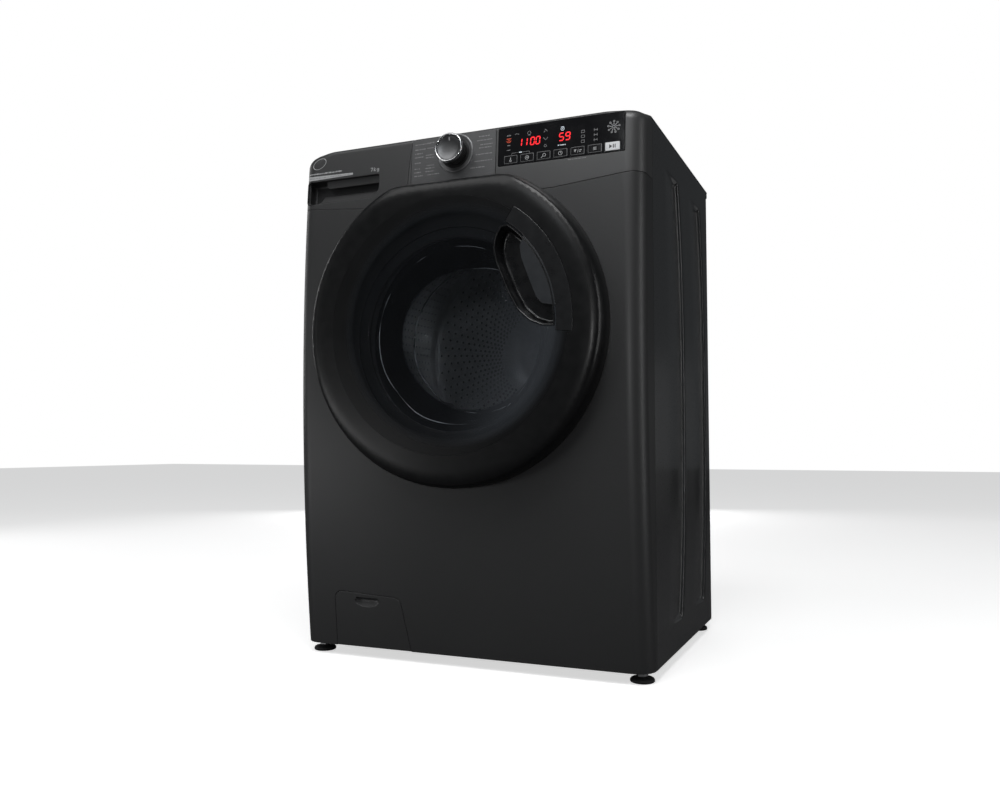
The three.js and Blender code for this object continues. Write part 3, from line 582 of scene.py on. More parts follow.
# the drawer's graphite made darker for the grip pocket: painted shade of the recess
POCKET_PAINTED_SHADE = shade("pocket_graphite_painted_shade", (0.026, 0.0263, 0.027), (0.020, 0.0202, 0.021), (0.42, 0.5), 0.3,
               coat=0.1, coat_rough=0.3, mottle=6.0, grain=900.0, grain_bump=0.04)
GLOSS = shade("gloss_black", (0.0050, 0.0052, 0.0056), (0.0038, 0.004, 0.0044), (0.32, 0.38), 0.0, coat=0.1,
              coat_rough=0.2, specular=0.26, mottle=8.0, grain=60.0, grain_bump=0.008)
MATT_BLACK = shade("black_plastic", (0.022, 0.0225, 0.0235), None, (0.45, 0.6), 0.0, mottle=10.0, grain=900.0,
                   grain_bump=0.25)
CHANNEL = shade("channel_black", (0.006, 0.0063, 0.007), (0.004, 0.0042, 0.005), (0.24, 0.34), 0.0, coat=0.4,
                coat_rough=0.08, mottle=20.0, grain=90.0, grain_bump=0.02)
LEVER = shade("lever_gloss", (0.010, 0.0105, 0.0115), (0.008, 0.0082, 0.009), (0.26, 0.32), 0.0, coat=0.3,
              coat_rough=0.12, mottle=8.0, grain=60.0, grain_bump=0.008)
# the window's border brings in the painted reflection of pane()
WINDOW = pane("smoked_window", (0.92, 0.93, 0.945), (152, 180), (0.12, 0.6), (0.024, 0.0265, 0.030),
              rough=0.3,
              specular=0.26)
GRIP = shade("grip_tint", (0.023, 0.0255, 0.029), (0.019, 0.021, 0.0245), (0.34, 0.42), 0.0, coat=0.2,
             coat_rough=0.2, mottle=12.0, grain=60.0, grain_bump=0.006)
BOWL = pane("bowl_glass", (0.97, 0.98, 0.99), None, (0.06, 1.0), (0.012, 0.013, 0.015), rough=0.04)
# painted highlight for the bowl's two rings
PAINTED_GLINT = glint("bead_painted_glint", 15.0)
SCREEN = shade("display_gloss", (0.006, 0.006, 0.007), None, (0.06, 0.11), 0.0, coat=0.6, coat_rough=0.03,
               mottle=14.0, grain=50.0, grain_bump=0.006)
KEY = shade("key_gloss", (0.010, 0.010, 0.011), None, (0.1, 0.16), 0.0, coat=0.4, coat_rough=0.05,
            mottle=25.0)
SILVER_KEY = shade("silver_key", (0.72, 0.73, 0.74), (0.66, 0.67, 0.68), (0.28, 0.36), 0.15, mottle=30.0,
                   grain=1500.0, grain_bump=0.04)
CHROME = brushed("chrome", (0.78, 0.79, 0.80), (0.08, 0.16), (1, 40, 1), 0.03)
SKIRT = shade("dial_skirt", (0.03, 0.0305, 0.031), None, (0.25, 0.35), 0.3, mottle=20.0, grain=700.0,
              grain_bump=0.08)
CAP = brushed("dial_cap", (0.17, 0.172, 0.176), (0.3, 0.4), (60, 1, 60), 0.03)
BEZEL = brushed("dial_bezel", (0.2, 0.202, 0.207), (0.3, 0.4), (1, 1, 12), 0.03, 0.6)
BOARD = shade("worktop_board", (0.03, 0.0305, 0.0315), (0.024, 0.0245, 0.0255), (0.36, 0.5), 0.0, mottle=6.0,
              grain=500.0, grain_bump=0.12, fine=1800.0, fine_bump=0.12)
PRINT = shade("grey_print", (0.42, 0.425, 0.43), (0.36, 0.365, 0.37), (0.4, 0.5), 0.0, mottle=60.0)
DIM_PRINT = shade("dim_print", (0.24, 0.242, 0.245), (0.2, 0.202, 0.205), (0.4, 0.5), 0.0, mottle=60.0)
FRAME_PRINT = shade("frame_print", (0.19, 0.192, 0.196), (0.15, 0.152, 0.156), (0.4, 0.5), 0.0, mottle=60.0)
PALE_PRINT = shade("pale_print", (0.62, 0.63, 0.64), (0.55, 0.56, 0.57), (0.4, 0.5), 0.0, mottle=60.0)
DARK_PRINT = shade("dark_print", (0.01, 0.01, 0.011), None, (0.4, 0.5), 0.0, mottle=60.0)
RED = glow("digit_red", (1.0, 0.010, 0.018), 1.5)
RED_ICON = glow("icon_red", (1.0, 0.10, 0.03), 0.5)
WHITE_ICON = glow("icon_white", (0.75, 0.85, 1.0), 0.7, (0.02, 0.02, 0.02))
GREY_PLASTIC = shade("grey_plastic", (0.30, 0.31, 0.32), (0.25, 0.26, 0.27), (0.38, 0.5), 0.0, mottle=9.0,
                     grain=800.0, grain_bump=0.15)
TUB_PLASTIC = shade("tub_plastic", (0.16, 0.163, 0.166), (0.12, 0.123, 0.126), (0.5, 0.65), 0.0, mottle=5.0,
                    grain=300.0, grain_bump=0.2)
GASKET = shade("gasket_rubber", (0.11, 0.113, 0.118), (0.085, 0.088, 0.092), (0.5, 0.65), 0.0, mottle=12.0,
               grain=500.0, grain_bump=0.1)
RUBBER = shade("black_rubber", (0.014, 0.014, 0.015), None, (0.6, 0.8), 0.0, mottle=30.0, grain=900.0,
               grain_bump=0.3)
FOOT_STEEL = brushed("foot_steel", (0.60, 0.60, 0.61), (0.22, 0.4), (1, 1, 8), 0.1)
STAINLESS = brushed("stainless", (0.74, 0.75, 0.76), (0.28, 0.4), (1, 30, 1), 0.04, 0.45)
LIFTER = shade("lifter_plastic", (0.20, 0.21, 0.22), (0.16, 0.17, 0.18), (0.3, 0.42), 0.0, mottle=12.0,
               grain=700.0, grain_bump=0.1)
ZINC = shade("zinc_steel", (0.46, 0.47, 0.48), (0.34, 0.35, 0.37), (0.3, 0.48), 1.0, mottle=40.0, grain=180.0,
             grain_bump=0.05, wear=0.3)
ALLOY = shade("cast_alloy", (0.40, 0.41, 0.42), (0.30, 0.31, 0.32), (0.42, 0.6), 0.9, mottle=20.0,
              grain=500.0,
              grain_bump=0.3)
CONCRETE = shade("concrete", (0.30, 0.295, 0.285), (0.20, 0.197, 0.19), (0.8, 0.95), 0.0, mottle=14.0,
                 grain=160.0, grain_bump=0.6, fine=700.0, fine_bump=0.5)

NODE_FINISH = {
    "grey_plastic": GREY_PLASTIC, "tub_plastic": TUB_PLASTIC, "zinc_steel": ZINC, "cast_alloy": ALLOY,
    "concrete": CONCRETE, "stainless": STAINLESS, "black_plastic": MATT_BLACK, "gloss_black": GLOSS,
    "graphite_paint": GRAPHITE, "graphite_fascia": FASCIA, "black_side_paint": SIDE_PAINT,
    "rear_sheet": REAR, "worktop": WORKTOP, "smoked_window": WINDOW, "bowl_glass": BOWL, "display": SCREEN,
    "silver_key": SILVER_KEY, "dial": CHROME, "gasket_rubber": GASKET, "black_rubber": RUBBER,
    "foot_steel": FOOT_STEEL,
}
# what is left of the CAD takes the finish of its slot; the ring behind the window shows as black plastic
for part in frame["record"]["subparts"]:
    mesh = NODES[part["node"]].data
    mesh.materials.clear()
    black = part["node"] == "door_inner_ring"
    mesh.materials.append(MATT_BLACK if black else NODE_FINISH[part["material_slot"]])


# ------------------------------------------------------------------ outlines shared by pieces
def seam_z(u):
    """Height of the seam under the fascia at a distance round the front."""
    a = np.abs(u)
    return SEAM_LOW + (SEAM_HIGH - SEAM_LOW) * np.clip((a - 160) / 125, 0, 1)


def drawer_seam(z):
    """The curved seam between the drawer front and the control panel."""
    t = (z - 745) / 105
    return -92.5 + 7.5 * t * t


def door_zone(grow, n=96):
    """The door's outline: a disc whose top is cut flat, with soft corners."""
    r, top = DOOR_R + grow, DOOR_TOP - DOOR_Z + grow
    a = np.linspace(0, 2 * math.pi, n * 2, endpoint=False)
    limit = np.where(np.sin(a) > 0.3, top / np.maximum(np.sin(a), 0.3), 1e3)
    radius = -3 * np.log(np.exp(-r / 3) + np.exp(-np.minimum(limit, 900) / 3))
    return np.column_stack([radius * np.cos(a), DOOR_Z + radius * np.sin(a)])


def handle_outline(grow=0.0):
    """The lever's arc band with the grip plate that fingers pull on."""
    grip = [(124.5, 644), (127, 626), (140, 592), (151, 566), (160, 556)]
    pts = [*arc(0, DOOR_Z, 207, -5.5, 56, 28), *arc(0, DOOR_Z, 182, 56, 44, 6), *grip,
           *arc(0, DOOR_Z, 182, 6, -5.5, 5)]
    pts = dense(pts, 6)
    return pts - inward(pts) * grow


def recess_outline():
    """The finger channel's opening beside the lever, as seen from the front."""
    left = [(93, 677), (85, 664), (81, 644), (86, 622), (104, 578), (120, 549), (140, 531), (160, 523)]
    pts = np.array([*left, *arc(0, DOOR_Z, 180, -3.5, 54, 20)], float)
    return rounded(pts, [5, 16, 30, 30, 40, 40, 30, 4] + [0] * 20 + [2], 5)


# where the front shell has columns of points: coarse in front, close round the corner
CORNER_ENDS = HALF - CORNER + CORNER * math.pi / 2
FRONT_COLUMNS = [*np.arange(-264, 265, 24),
                 *[s * (HALF - CORNER + k * 2.75) for s in (-1, 1) for k in range(17)],
                 *[s * (CORNER_ENDS + k) for s in (-1, 1) for k in (8, 17, 26)]]


def wrap_loop(low, high, u0=-U_END, u1=U_END, step=7.0):
    """An outline in (u, z) between two edges that are functions of u."""
    us = np.arange(u0, u1 + 1e-6, (u1 - u0) / math.ceil((u1 - u0) / step))
    bottom = np.column_stack([us, low(us)])
    top = np.column_stack([us, high(us)])[::-1]
    left = dense([top[-1], bottom[0]], step)
    right = dense([bottom[-1], top[0]], step)
    k = int(math.ceil(np.linalg.norm(top[-1] - bottom[0]) / step))
    return np.concatenate([bottom[:-1], right[:k], top[:-1], left[:k]])


EDGE = [(0.8, 0), (0.4, 0.1), (0.12, 0.36), (0, 0.8)]       # the soft edge of most plates


# ------------------------------------------------------------------ front panel and flap
def flap_outline(grow):
    """The service flap's outline, run on below the cabinet so that it can be cut off level."""
    left, right = FLAP_LEFT - grow, FLAP_RIGHT + grow
    pts = [(left, BASE - 5), (right + FLAP_LEAN * 5, BASE - 5), (-110 + grow, 102 + grow), (left, 109 + grow)]
    return dense(rounded(pts, [0, 0, 13, 13], 7), 8)


def make_front_panel():
    outline = wrap_loop(lambda u: np.full(len(u), BASE), lambda u: seam_z(u) - GAP, step=8)
    mouth = circle(0, AXIS_Z, MOUTH_R, 96)
    hook = dense(box2d(206, 238, 518, 548, 3), 5)
    flap = flap_outline(GAP)
    loops = minus(outline, mouth, hook, flap)
    plain = EDGE + [(0, SHEET)]
    rolled = [(3, 0), (1.6, 0.4), (0.6, 1.4), (0.1, 2.8), (0, 4.5), (0, 11), (1.2, 11), (3.2, SHEET)]
    # only the mouth, the one large hole, has the rolled edge
    holes = [rolled if abs(area(l)) > 50000 else plain for l in loops[1:]]
    b = Build().add(*skin(loops, wrap, SHEET, grid_between(FRONT_COLUMNS, np.arange(28, 748, 20)), plain,
                          holes, near=3.0))
    b.make("front_panel_shell", GRAPHITE, "cabinet", "front_panel", "graphite_paint", sharp=38)


make_front_panel()


def make_flap():
    whole, low = flap_outline(0), BASE + 0.6
    outline = region(lambda p: inside(whole, p) & (p[:, 1] > low), whole,
                     np.array([(-260, low), (-60, low), (-60, 130), (-260, 130)]))[0]
    scoop = dense(rounded([(-195.5, 96.4), (-192, 90), (-184, 85.6), (-170, 84.6), (-158, 86.4),
                           (-150.5, 90.6),
                           (-146, 96.4)], [2, 6, 14, 18, 14, 6, 2], 4), 3)
    slit = box2d(-192.5, -151, 97.4, 99.6, 1.0, 4)
    top_edge = EDGE + [(0, 2.5)]
    b = Build().add(*skin([outline, scoop, slit], wrap, 2.5, grid_between(np.arange(-226, -92, 12),
            np.arange(24, 108, 10)),
                          top_edge, [[(0.9, 0), (0.35, 0.12), (0, 0.5), (0, 2.5)],
                                     [(0.3, 0), (0.08, 0.1), (0, 0.3), (0, 2.5)]], near=2.0))

    def dish(p):
        base = front_plane(p)
        deep = np.clip((97 - p[:, 1]) / 12, 0, 1)
        side = np.clip(np.minimum(p[:, 0] + 195.5, -146 - p[:, 0]) / 10, 0, 1)
        base[:, 1] += 0.6 + 4.2 * np.sin((1 - deep) * math.pi / 2) * side
        return base

    shrunk = scoop + inward(scoop if area(scoop) > 0 else scoop[::-1]) * 0.1
    b.add(*skin([shrunk], dish, 1.2, grid_between(np.arange(-192, -146, 4), np.arange(86, 97, 2)),
                [(0, 0), (0, 1.2)], near=1.2))
    b.make("service_flap", GRAPHITE, "flap", "filter_flap", "graphite_paint", sharp=35)
    # a black plate set back behind the slit and the scoop: painted shade inside the cabinet
    shadow = Build().add(*skin([box2d(-196, -145, 84.5, 100.5, 3)], set_back(5.9), 0.8,
                               rings=[(0, 0), (0, 0.8)]))
    shadow.make("flap_slot_painted_shade", MATT_BLACK, "flap", (), "black_plastic")
    pin = Build().add(*tube([(-213, -208.2, 21), (-113, -208.2, 21)], 2.1, 14))
    pin.make("flap_pin", MATT_BLACK, "flap", (), "black_plastic")


make_flap()


# ------------------------------------------------------------------ fascia: control panel and drawer front
def roll_end(u):
    """Value of the second coordinate where the fascia's top edge has turned level."""
    r = top_radius(u)
    return HEIGHT - r + r * math.pi / 2 - 0.02


def fascia_plate(outline, *holes):
    """A plate of the fascia with its rolled top edge; slivers left by the cutting aren't holes."""
    loops = minus(outline, *holes)
    loops = [loops[0]] + [l for l in loops[1:] if abs(area(l)) > 20]
    rolled = np.arange(826, 862, 1.6)
    close = [u for u in FRONT_COLUMNS if abs(u) > 266]
    pts = np.concatenate([grid_between(FRONT_COLUMNS, np.arange(746, 824, 12)), grid_between(close, rolled),
                          grid_between(np.arange(-264, 265, 3.0), rolled)])
    return skin(loops, fascia, WALL, pts, EDGE + [(0, WALL)], near=0.9)


def lid(u0, u1):
    """The level top behind the rolled edge, back to the worktop."""
    us = np.linspace(u0, u1, int(abs(u1 - u0) / 4) + 2)
    edge = fascia(np.column_stack([us, roll_end(us)]))[:, :2]
    ends = [(x, SIDE_SEAM) for x, y in (edge[-1], edge[0]) if y < SIDE_SEAM - 1]
    ring = np.array([*edge, *ends])
    top = level_at(HEIGHT - 0.3)(ring)
    under = top - [0, 0, WALL]
    n = len(ring)
    faces = [list(range(n)), list(range(2 * n - 1, n - 1, -1))]
    faces += [[i, (i + 1) % n, n + (i + 1) % n, n + i] for i in range(n)]
    return [*top, *under], faces


def make_fascia():
    whole = wrap_loop(seam_z, roll_end, step=5)
    line_z = np.linspace(700, 900, 40)
    seam = np.column_stack([drawer_seam(line_z), line_z])
    right = np.concatenate([seam + [GAP / 2, 0], [(400, 900), (400, 700)]])
    left = np.concatenate([seam - [GAP / 2, 0], [(-400, 900), (-400, 700)]])
    zone, zone_gap = door_zone(2.5), door_zone(2.5 + GAP)
    plate = dense(box2d(PLATE_X[0] - GAP, PLATE_X[1] + GAP, PLATE_LOW - GAP, 845.0, 1.0), 8)
    screen = dense(box2d(SCREEN_X[0] - GAP, SCREEN_X[1] + GAP, SCREEN_LOW - GAP, SCREEN_HIGH + 0.4, 1.5), 6)
    outline = region(lambda p: inside(whole, p) & (inside(right, p) | inside(zone, p)), whole, right, zone)[0]
    b = Build().add(*fascia_plate(outline, plate, screen))
    b.add(*lid(drawer_seam(HEIGHT) + GAP, U_END))
    b.make("control_panel_shell", FASCIA, "cabinet", "control_panel", "graphite_fascia", sharp=38)

    x0, x1, z0, z1 = -286, -146.5, 759, 798.5
    pocket = dense(rounded([(x0, z0), (x1 - 14, z0), (x1, z0 + 13), (x1, z1), (x0, z1)], [5, 5, 6, 3.5, 5],
                           5), 5)
    outline = region(lambda p: inside(whole, p) & inside(left, p) & ~inside(zone_gap, p),
                     whole, left, zone_gap)[0]
    b = Build().add(*fascia_plate(outline, pocket))
    b.add(*lid(-U_END, drawer_seam(HEIGHT) - GAP))
    b.make("drawer_front_shell", DRAWER_GREY, "drawer", "drawer_front", "graphite_fascia", sharp=38)
    make_pocket(pocket)


def make_pocket(outline):
    """The grip pocket: sloping floor towards the bottom, lip hanging at the top, closed back."""
    outline = outline if area(outline) > 0 else outline[::-1]
    depth, wall = 19.0, 1.6
    rings = [(7.0, 0)] + [(i, set_back(d)) for i, d in (
        (5.0, depth - 0.6), (3.2, depth - 2.2), (1.9, depth - 5), (1.2, depth - 9), (0.5, 4), (0.0, 0.6),
        (-wall, 0.6), (-wall, depth + wall), (4.0, depth + wall))]
    pts = grid_between(np.arange(-280, -150, 8), np.arange(764, 796, 5))
    b = Build().add(*skin([outline], set_back(depth), wall, pts, rings, near=2))
    # the pocket's walls and back take the darker finish: painted shade
    b.make("drawer_pocket", POCKET_PAINTED_SHADE, "drawer", (), "graphite_fascia", sharp=35)
    prof = [(0.8, 760.2), (4.0, 761.2), (16.5, 774.5), (18.6, 775.5), (18.6, 759.4), (0.8, 759.4)]
    stations = (-262, -252, -165, -156)
    verts = [(x, FRONT + bow(z) + d, z) for x in stations for d, z in prof]
    k, last = len(prof), len(stations) - 1
    faces = [[i * k + j, i * k + (j + 1) % k, (i + 1) * k + (j + 1) % k, (i + 1) * k + j]
             for i in range(last) for j in range(k)]
    faces += [list(range(k))[::-1], list(range(last * k, (last + 1) * k))]
    ramp = Build().add(verts, faces)
    # the sloping floor takes the lighter fascia finish, not the drawer's: painted light on the face that
    # turns up
    ramp.make("drawer_pocket_slope", FASCIA, "drawer", (), "graphite_fascia", sharp=35)
    high = 798.4
    shape = [(-252, high), (-146.8, high), (-146.8, 788.5), (-150, 785.5), (-248, 785.5), (-252, 789)]

    def sloping(p):
        base = set_back(5.0)(p)
        base[:, 1] += (high - p[:, 1]) * 0.18
        return base
    lip = Build().add(*skin([dense(rounded(shape, [0, 0, 1.5, 2, 2, 2], 4), 6)], sloping, 2.2,
                            grid_between(np.arange(-246, -150, 12), [790, 794]), EDGE + [(0, 2.2)]))
    lip.make("drawer_grip_lip", DRAWER_GREY, "drawer", (), "graphite_fascia", sharp=35)


make_fascia()


# ------------------------------------------------------------------ side panels
PRESSING, SIDE_FRONT, SIDE_BACK = 4.6, -177.6, 261.9


def side_depth(s, z):
    """Depth of the two saw-tooth pressings, at unwarped distance s and height z."""
    ends = np.clip((z - 62) / 9, 0, 1) * np.clip((797 - z) / 9, 0, 1)
    ends = ends * ends * (3 - 2 * ends)
    total = np.zeros_like(s)
    for y0, step in ((-92.0, 24.0), (108.0, 212.0)):
        t = np.clip((s - y0) / (step - y0), 0, 1)
        wedge = np.where(s < step, t * t * (3 - 2 * t) * PRESSING, 0)
        rise = np.clip((s - step) / 3.2, 0, 1)
        wedge = np.where((s >= step) & (s < step + 3.2), PRESSING * (1 - rise * rise * (3 - 2 * rise)), wedge)
        groove = 1.3 * np.exp(-((s - step - 9.5) / 2.6) ** 2)
        total += (wedge + groove) * ends
    return total


def side_warp(s, z):
    """The pressings' rear edges bow towards the back at mid height."""
    t = np.clip(np.abs(z - 430) / 366, 0, 1)
    bend = 22 - 46 * t ** 2.6
    share = np.clip((s + 150) / 130, 0, 1) * np.clip((262 - s) / 42, 0, 1)
    share = share * share * (3 - 2 * share)
    return s + (bend - 10) * share * 0.8


def make_side(sign):
    """A pressed side sheet; its rows and columns are close together only where it bends."""
    cols = sorted({*np.arange(SIDE_FRONT, -92, 12.0), *np.arange(-92, 14, 5.0), *np.arange(14, 42, 0.8),
                   *np.arange(42, 108, 6.0), *np.arange(108, 200, 5.0), *np.arange(200, 232, 0.8),
                   *np.arange(232, 260, 4.0), SIDE_BACK})
    rows = sorted({BASE, *np.arange(24, 58, 8.0), *np.arange(58, 76, 1.2), *np.arange(76, 785, 16.0),
                   *np.arange(785, 800, 1.2), *np.arange(800, 846, 8.0), HEIGHT - 3.4})
    s, z = np.meshgrid(cols, rows, indexing="ij")
    depth = side_depth(s, z)
    y = side_warp(s, z)
    y[0, :], y[-1, :] = SIDE_FRONT, SIDE_BACK
    outer = np.stack([sign * (HALF - 0.05 - depth), y, z], -1)
    inner = outer - np.array([sign * 1.15, 0, 0])
    ni, nj = s.shape
    verts = [*outer.reshape(-1, 3), *inner.reshape(-1, 3)]
    faces = []

    def at(i, j, k):
        return k * ni * nj + i * nj + j
    for i in range(ni - 1):
        for j in range(nj - 1):
            faces.append([at(i, j, 0), at(i + 1, j, 0), at(i + 1, j + 1, 0), at(i, j + 1, 0)])
            faces.append([at(i, j, 1), at(i, j + 1, 1), at(i + 1, j + 1, 1), at(i + 1, j, 1)])
    for j in range(nj - 1):
        faces += [[at(0, j, 0), at(0, j + 1, 0), at(0, j + 1, 1), at(0, j, 1)],
                  [at(ni - 1, j, 0), at(ni - 1, j, 1), at(ni - 1, j + 1, 1), at(ni - 1, j + 1, 0)]]
    for i in range(ni - 1):
        faces += [[at(i, 0, 0), at(i, 0, 1), at(i + 1, 0, 1), at(i + 1, 0, 0)],
                  [at(i, nj - 1, 0), at(i + 1, nj - 1, 0), at(i + 1, nj - 1, 1), at(i, nj - 1, 1)]]
    name = "left_side" if sign < 0 else "right_side"
    Build().add(verts, faces).make(name + "_skin", SIDE_PAINT, "cabinet", name + "_panel", "black_side_paint",
                                   sharp=50, weighted=False)


make_side(-1)
make_side(1)


# ------------------------------------------------------------------ door
# how far the moulding has fallen back (mm) at a distance in from the rim
RIM_IN = [0, 0.3, 1.2, 3, 6, 10, 16, 26, 51, 300]
RIM_DEPTH = [34.9, 26.0, 17.5, 11.0, 6.6, 3.9, 2.2, 1.2, 0.5, 0.5]


def door_at(p, depth):
    """Points at a depth, one or one each, behind the door's front."""
    return np.column_stack([p[:, 0], np.full(len(p), DOOR_FACE + depth), p[:, 1]])


def polar_points(radii, step):
    """Points on circles round the door's axis, about one step apart."""
    return [(r * math.cos(a), DOOR_Z + r * math.sin(a)) for r in radii
            for a in np.linspace(0, 2 * math.pi, max(8, int(2 * math.pi * r / step)), endpoint=False)]


def door_face(p):
    """The moulded front: nearly flat in the middle, falling away ever faster to the rim."""
    r = np.hypot(p[:, 0], p[:, 1] - DOOR_Z)
    a = np.maximum(DOOR_R - r, 0.0)
    b = np.maximum(DOOR_TOP - p[:, 1], 0.0)
    edge = -6 * np.log(np.exp(-a / 6) + np.exp(-b / 6))
    return door_at(p, np.interp(np.maximum(edge, 0), RIM_IN, RIM_DEPTH))


def window_face(p):
    """The window's face, dished by half a millimetre at its edge."""
    r = np.hypot(p[:, 0], p[:, 1] - DOOR_Z)
    return door_at(p, 0.5 * (r / WINDOW_R) ** 2)


def door_back(p):
    """Where the door's rim closes against the front panel, with a small gap."""
    return np.column_stack([p[:, 0], FRONT + bow(p[:, 1]) - 1.3, p[:, 1]])


def make_door():
    """The ring, the window, the lever in its two parts and the finger channel behind the lever."""
    rim = door_zone(0, 110)
    opening = circle(0, DOOR_Z, WINDOW_R + 0.08, 120)
    lever, recess = handle_outline(GAP), recess_outline()
    loops = minus(rim, opening, lever, recess)
    outer = [(8, 0)] + [(i, upright_at(DOOR_FACE + d)) for i, d in (
        (6.4, 7.2), (4.9, 9.3), (3.4, 12.0), (2.1, 15.4), (1.0, 20.2), (0.35, 26.0), (0.05, 31.5))]
    outer += [(0.0, lambda p: door_back(p) - [0, 0.6, 0]), (0.6, door_back), (2.9, door_back),
              (3.0, upright_at(DOOR_FACE + 20)), (9, upright_at(DOOR_FACE + 10.5))]
    inner = [(0.12, 0), (0.03, 0.03), (0, 0.15), (0, 3.0)]
    b = Build().add(*skin(loops, door_face, 3.0, polar_points(np.arange(204, 243, 4.0), 12), outer, inner,
                          2.0))
    b.make("door_ring", GLOSS, "door", "door_frame", "gloss_black", sharp=42)

    disc = circle(0, DOOR_Z, WINDOW_R, 120)
    b = Build().add(*skin(minus(disc, lever, recess)[:1], window_face, WALL,
                          polar_points(np.arange(8, 197, 10), 12), inner[:-1] + [(0, WALL)], None, 3))
    b.make("door_window_pane", WINDOW, "door", "door_window", "smoked_window", sharp=42)

    lever_rings = [(0.7, 0), (0.32, 0.08), (0.08, 0.32), (0, 0.7), (0, 4.6)]
    outline = handle_outline(0)
    split = circle(0, DOOR_Z, 181.5, 160)
    band = minus(outline, split)[0]
    grip = region(lambda p: inside(outline, p) & inside(split, p), outline, split)[0]
    pts = polar_points((186, 190, 194, 198, 202), 8)
    b = Build().add(*skin([band], window_face, 4.6, pts, lever_rings, None, 2))
    b.make("door_lever_band", LEVER, "door_lever", "door_handle", "gloss_black", sharp=42)
    b = Build().add(*skin([grip], lambda p: window_face(p) + [0, 0.35, 0], 4.0,
                          grid_between(range(126, 182, 6), range(558, 660, 6)),
                          lever_rings[:-1] + [(0, 4.0)], None, 2))
    b.make("door_lever_grip", GRIP, "door_lever", (), "gloss_black", sharp=42)

    channel = recess if area(recess) > 0 else recess[::-1]
    rings = [(10.5, 0)] + [(i, upright_at(y)) for i, y in (
        (8.2, -262.6), (6.4, -265), (5.2, -269), (4.5, -274), (4.1, -279), (3.7, -282.2), (2.9, -284.2),
        (1.9, -284.75), (0.9, -284.6), (0.3, -283.9), (0.25, -258.2), (7, -258.2))]
    b = Build().add(*skin([channel], upright_at(-262.0), 3.8,
                          grid_between(np.arange(84, 180, 6), np.arange(526, 690, 6)), rings, None, 3))
    b.make("finger_channel", CHANNEL, "door", "handle_recess", "gloss_black", sharp=40)


make_door()


def chaikin(points, rounds=2, closed=True):
    """The polyline with its corners cut off, over and over; an open one keeps its ends."""
    p = np.asarray(points, float)
    for _ in range(rounds):
        q = np.roll(p, -1, 0)
        cut = np.stack([p * 0.75 + q * 0.25, p * 0.25 + q * 0.75], 1).reshape(-1, p.shape[1])
        p = cut if closed else np.concatenate([p[:1], cut[1:-3], p[-1:]])
    return p


def make_bowl():
    """Glass bowl behind the window, with two thin rings whose painted highlights stand for the bright lines
    in it.
    """
    outside = [(168.5, -255.6), (167.5, -252.4), (157.5, -251.8), (152.5, -248), (147.5, -239), (145, -220),
               (139, -182), (132, -163),
               (123, -149), (110, -140), (95, -134.6), (60, -129.5), (25, -127), (0, -126.4)]
    inner_side = [(0, -130.6), (25, -131), (60, -133), (92, -138.6), (106, -144), (117, -152), (126, -166),
              (133.5, -184),
              (139.5, -220), (142.5, -238), (145.8, -247.5),
              (150.5, -253.2), (157, -256.0), (164, -256.6)]
    soft = np.concatenate([chaikin(outside, 1, False), chaikin(inner_side, 1, False)])
    b = Build().add(*lathe(soft.tolist(), 0, AXIS_Z, 128))
    b.make("bowl_glass", BOWL, "door", "door_glass", "bowl_glass", sharp=50)
    # the two rings are made only to carry painted highlights; the wave bends them
    for name, cr, cy, thick in (("bowl_painted_glint_inner", 120.6, -157.6, 0.85),
                                ("bowl_painted_glint_outer", 141.2, -238.0, 0.6)):
        turn = np.linspace(0, 2 * math.pi, 10, endpoint=False)
        verts, faces = lathe([(cr + thick * math.cos(t), cy + thick * math.sin(t)) for t in turn], 0, AXIS_Z,
                             144)
        v = np.array(verts)
        a = np.arctan2(v[:, 2] - AXIS_Z, v[:, 0])
        wave = 1 - 0.012 * np.exp(-((a + 2.25) / 0.5) ** 2) * (1 + np.sin(7 * a))
        v[:, 0] *= wave
        v[:, 2] = AXIS_Z + (v[:, 2] - AXIS_Z) * wave
        Build().add(v, faces).make(name, PAINTED_GLINT, "door", (), "bowl_glass", sharp=60)


make_bowl()


# ------------------------------------------------------------------ gasket and drum
def make_gasket():
    profile = [(156, -236), (170, -236), (170, -225), (186, -214), (186, -203), (171, -193), (171, -177),
               (167, -177),
               (167, -194), (182, -204), (182, -212), (159, -222), (156, -226)]
    b = Build().add(*lathe(chaikin(profile, 2).tolist(), 0, AXIS_Z, 128))
    boot = b.make("door_gasket_boot", GASKET, None, "door_gasket", "gasket_rubber", sharp=60)
    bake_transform(boot)


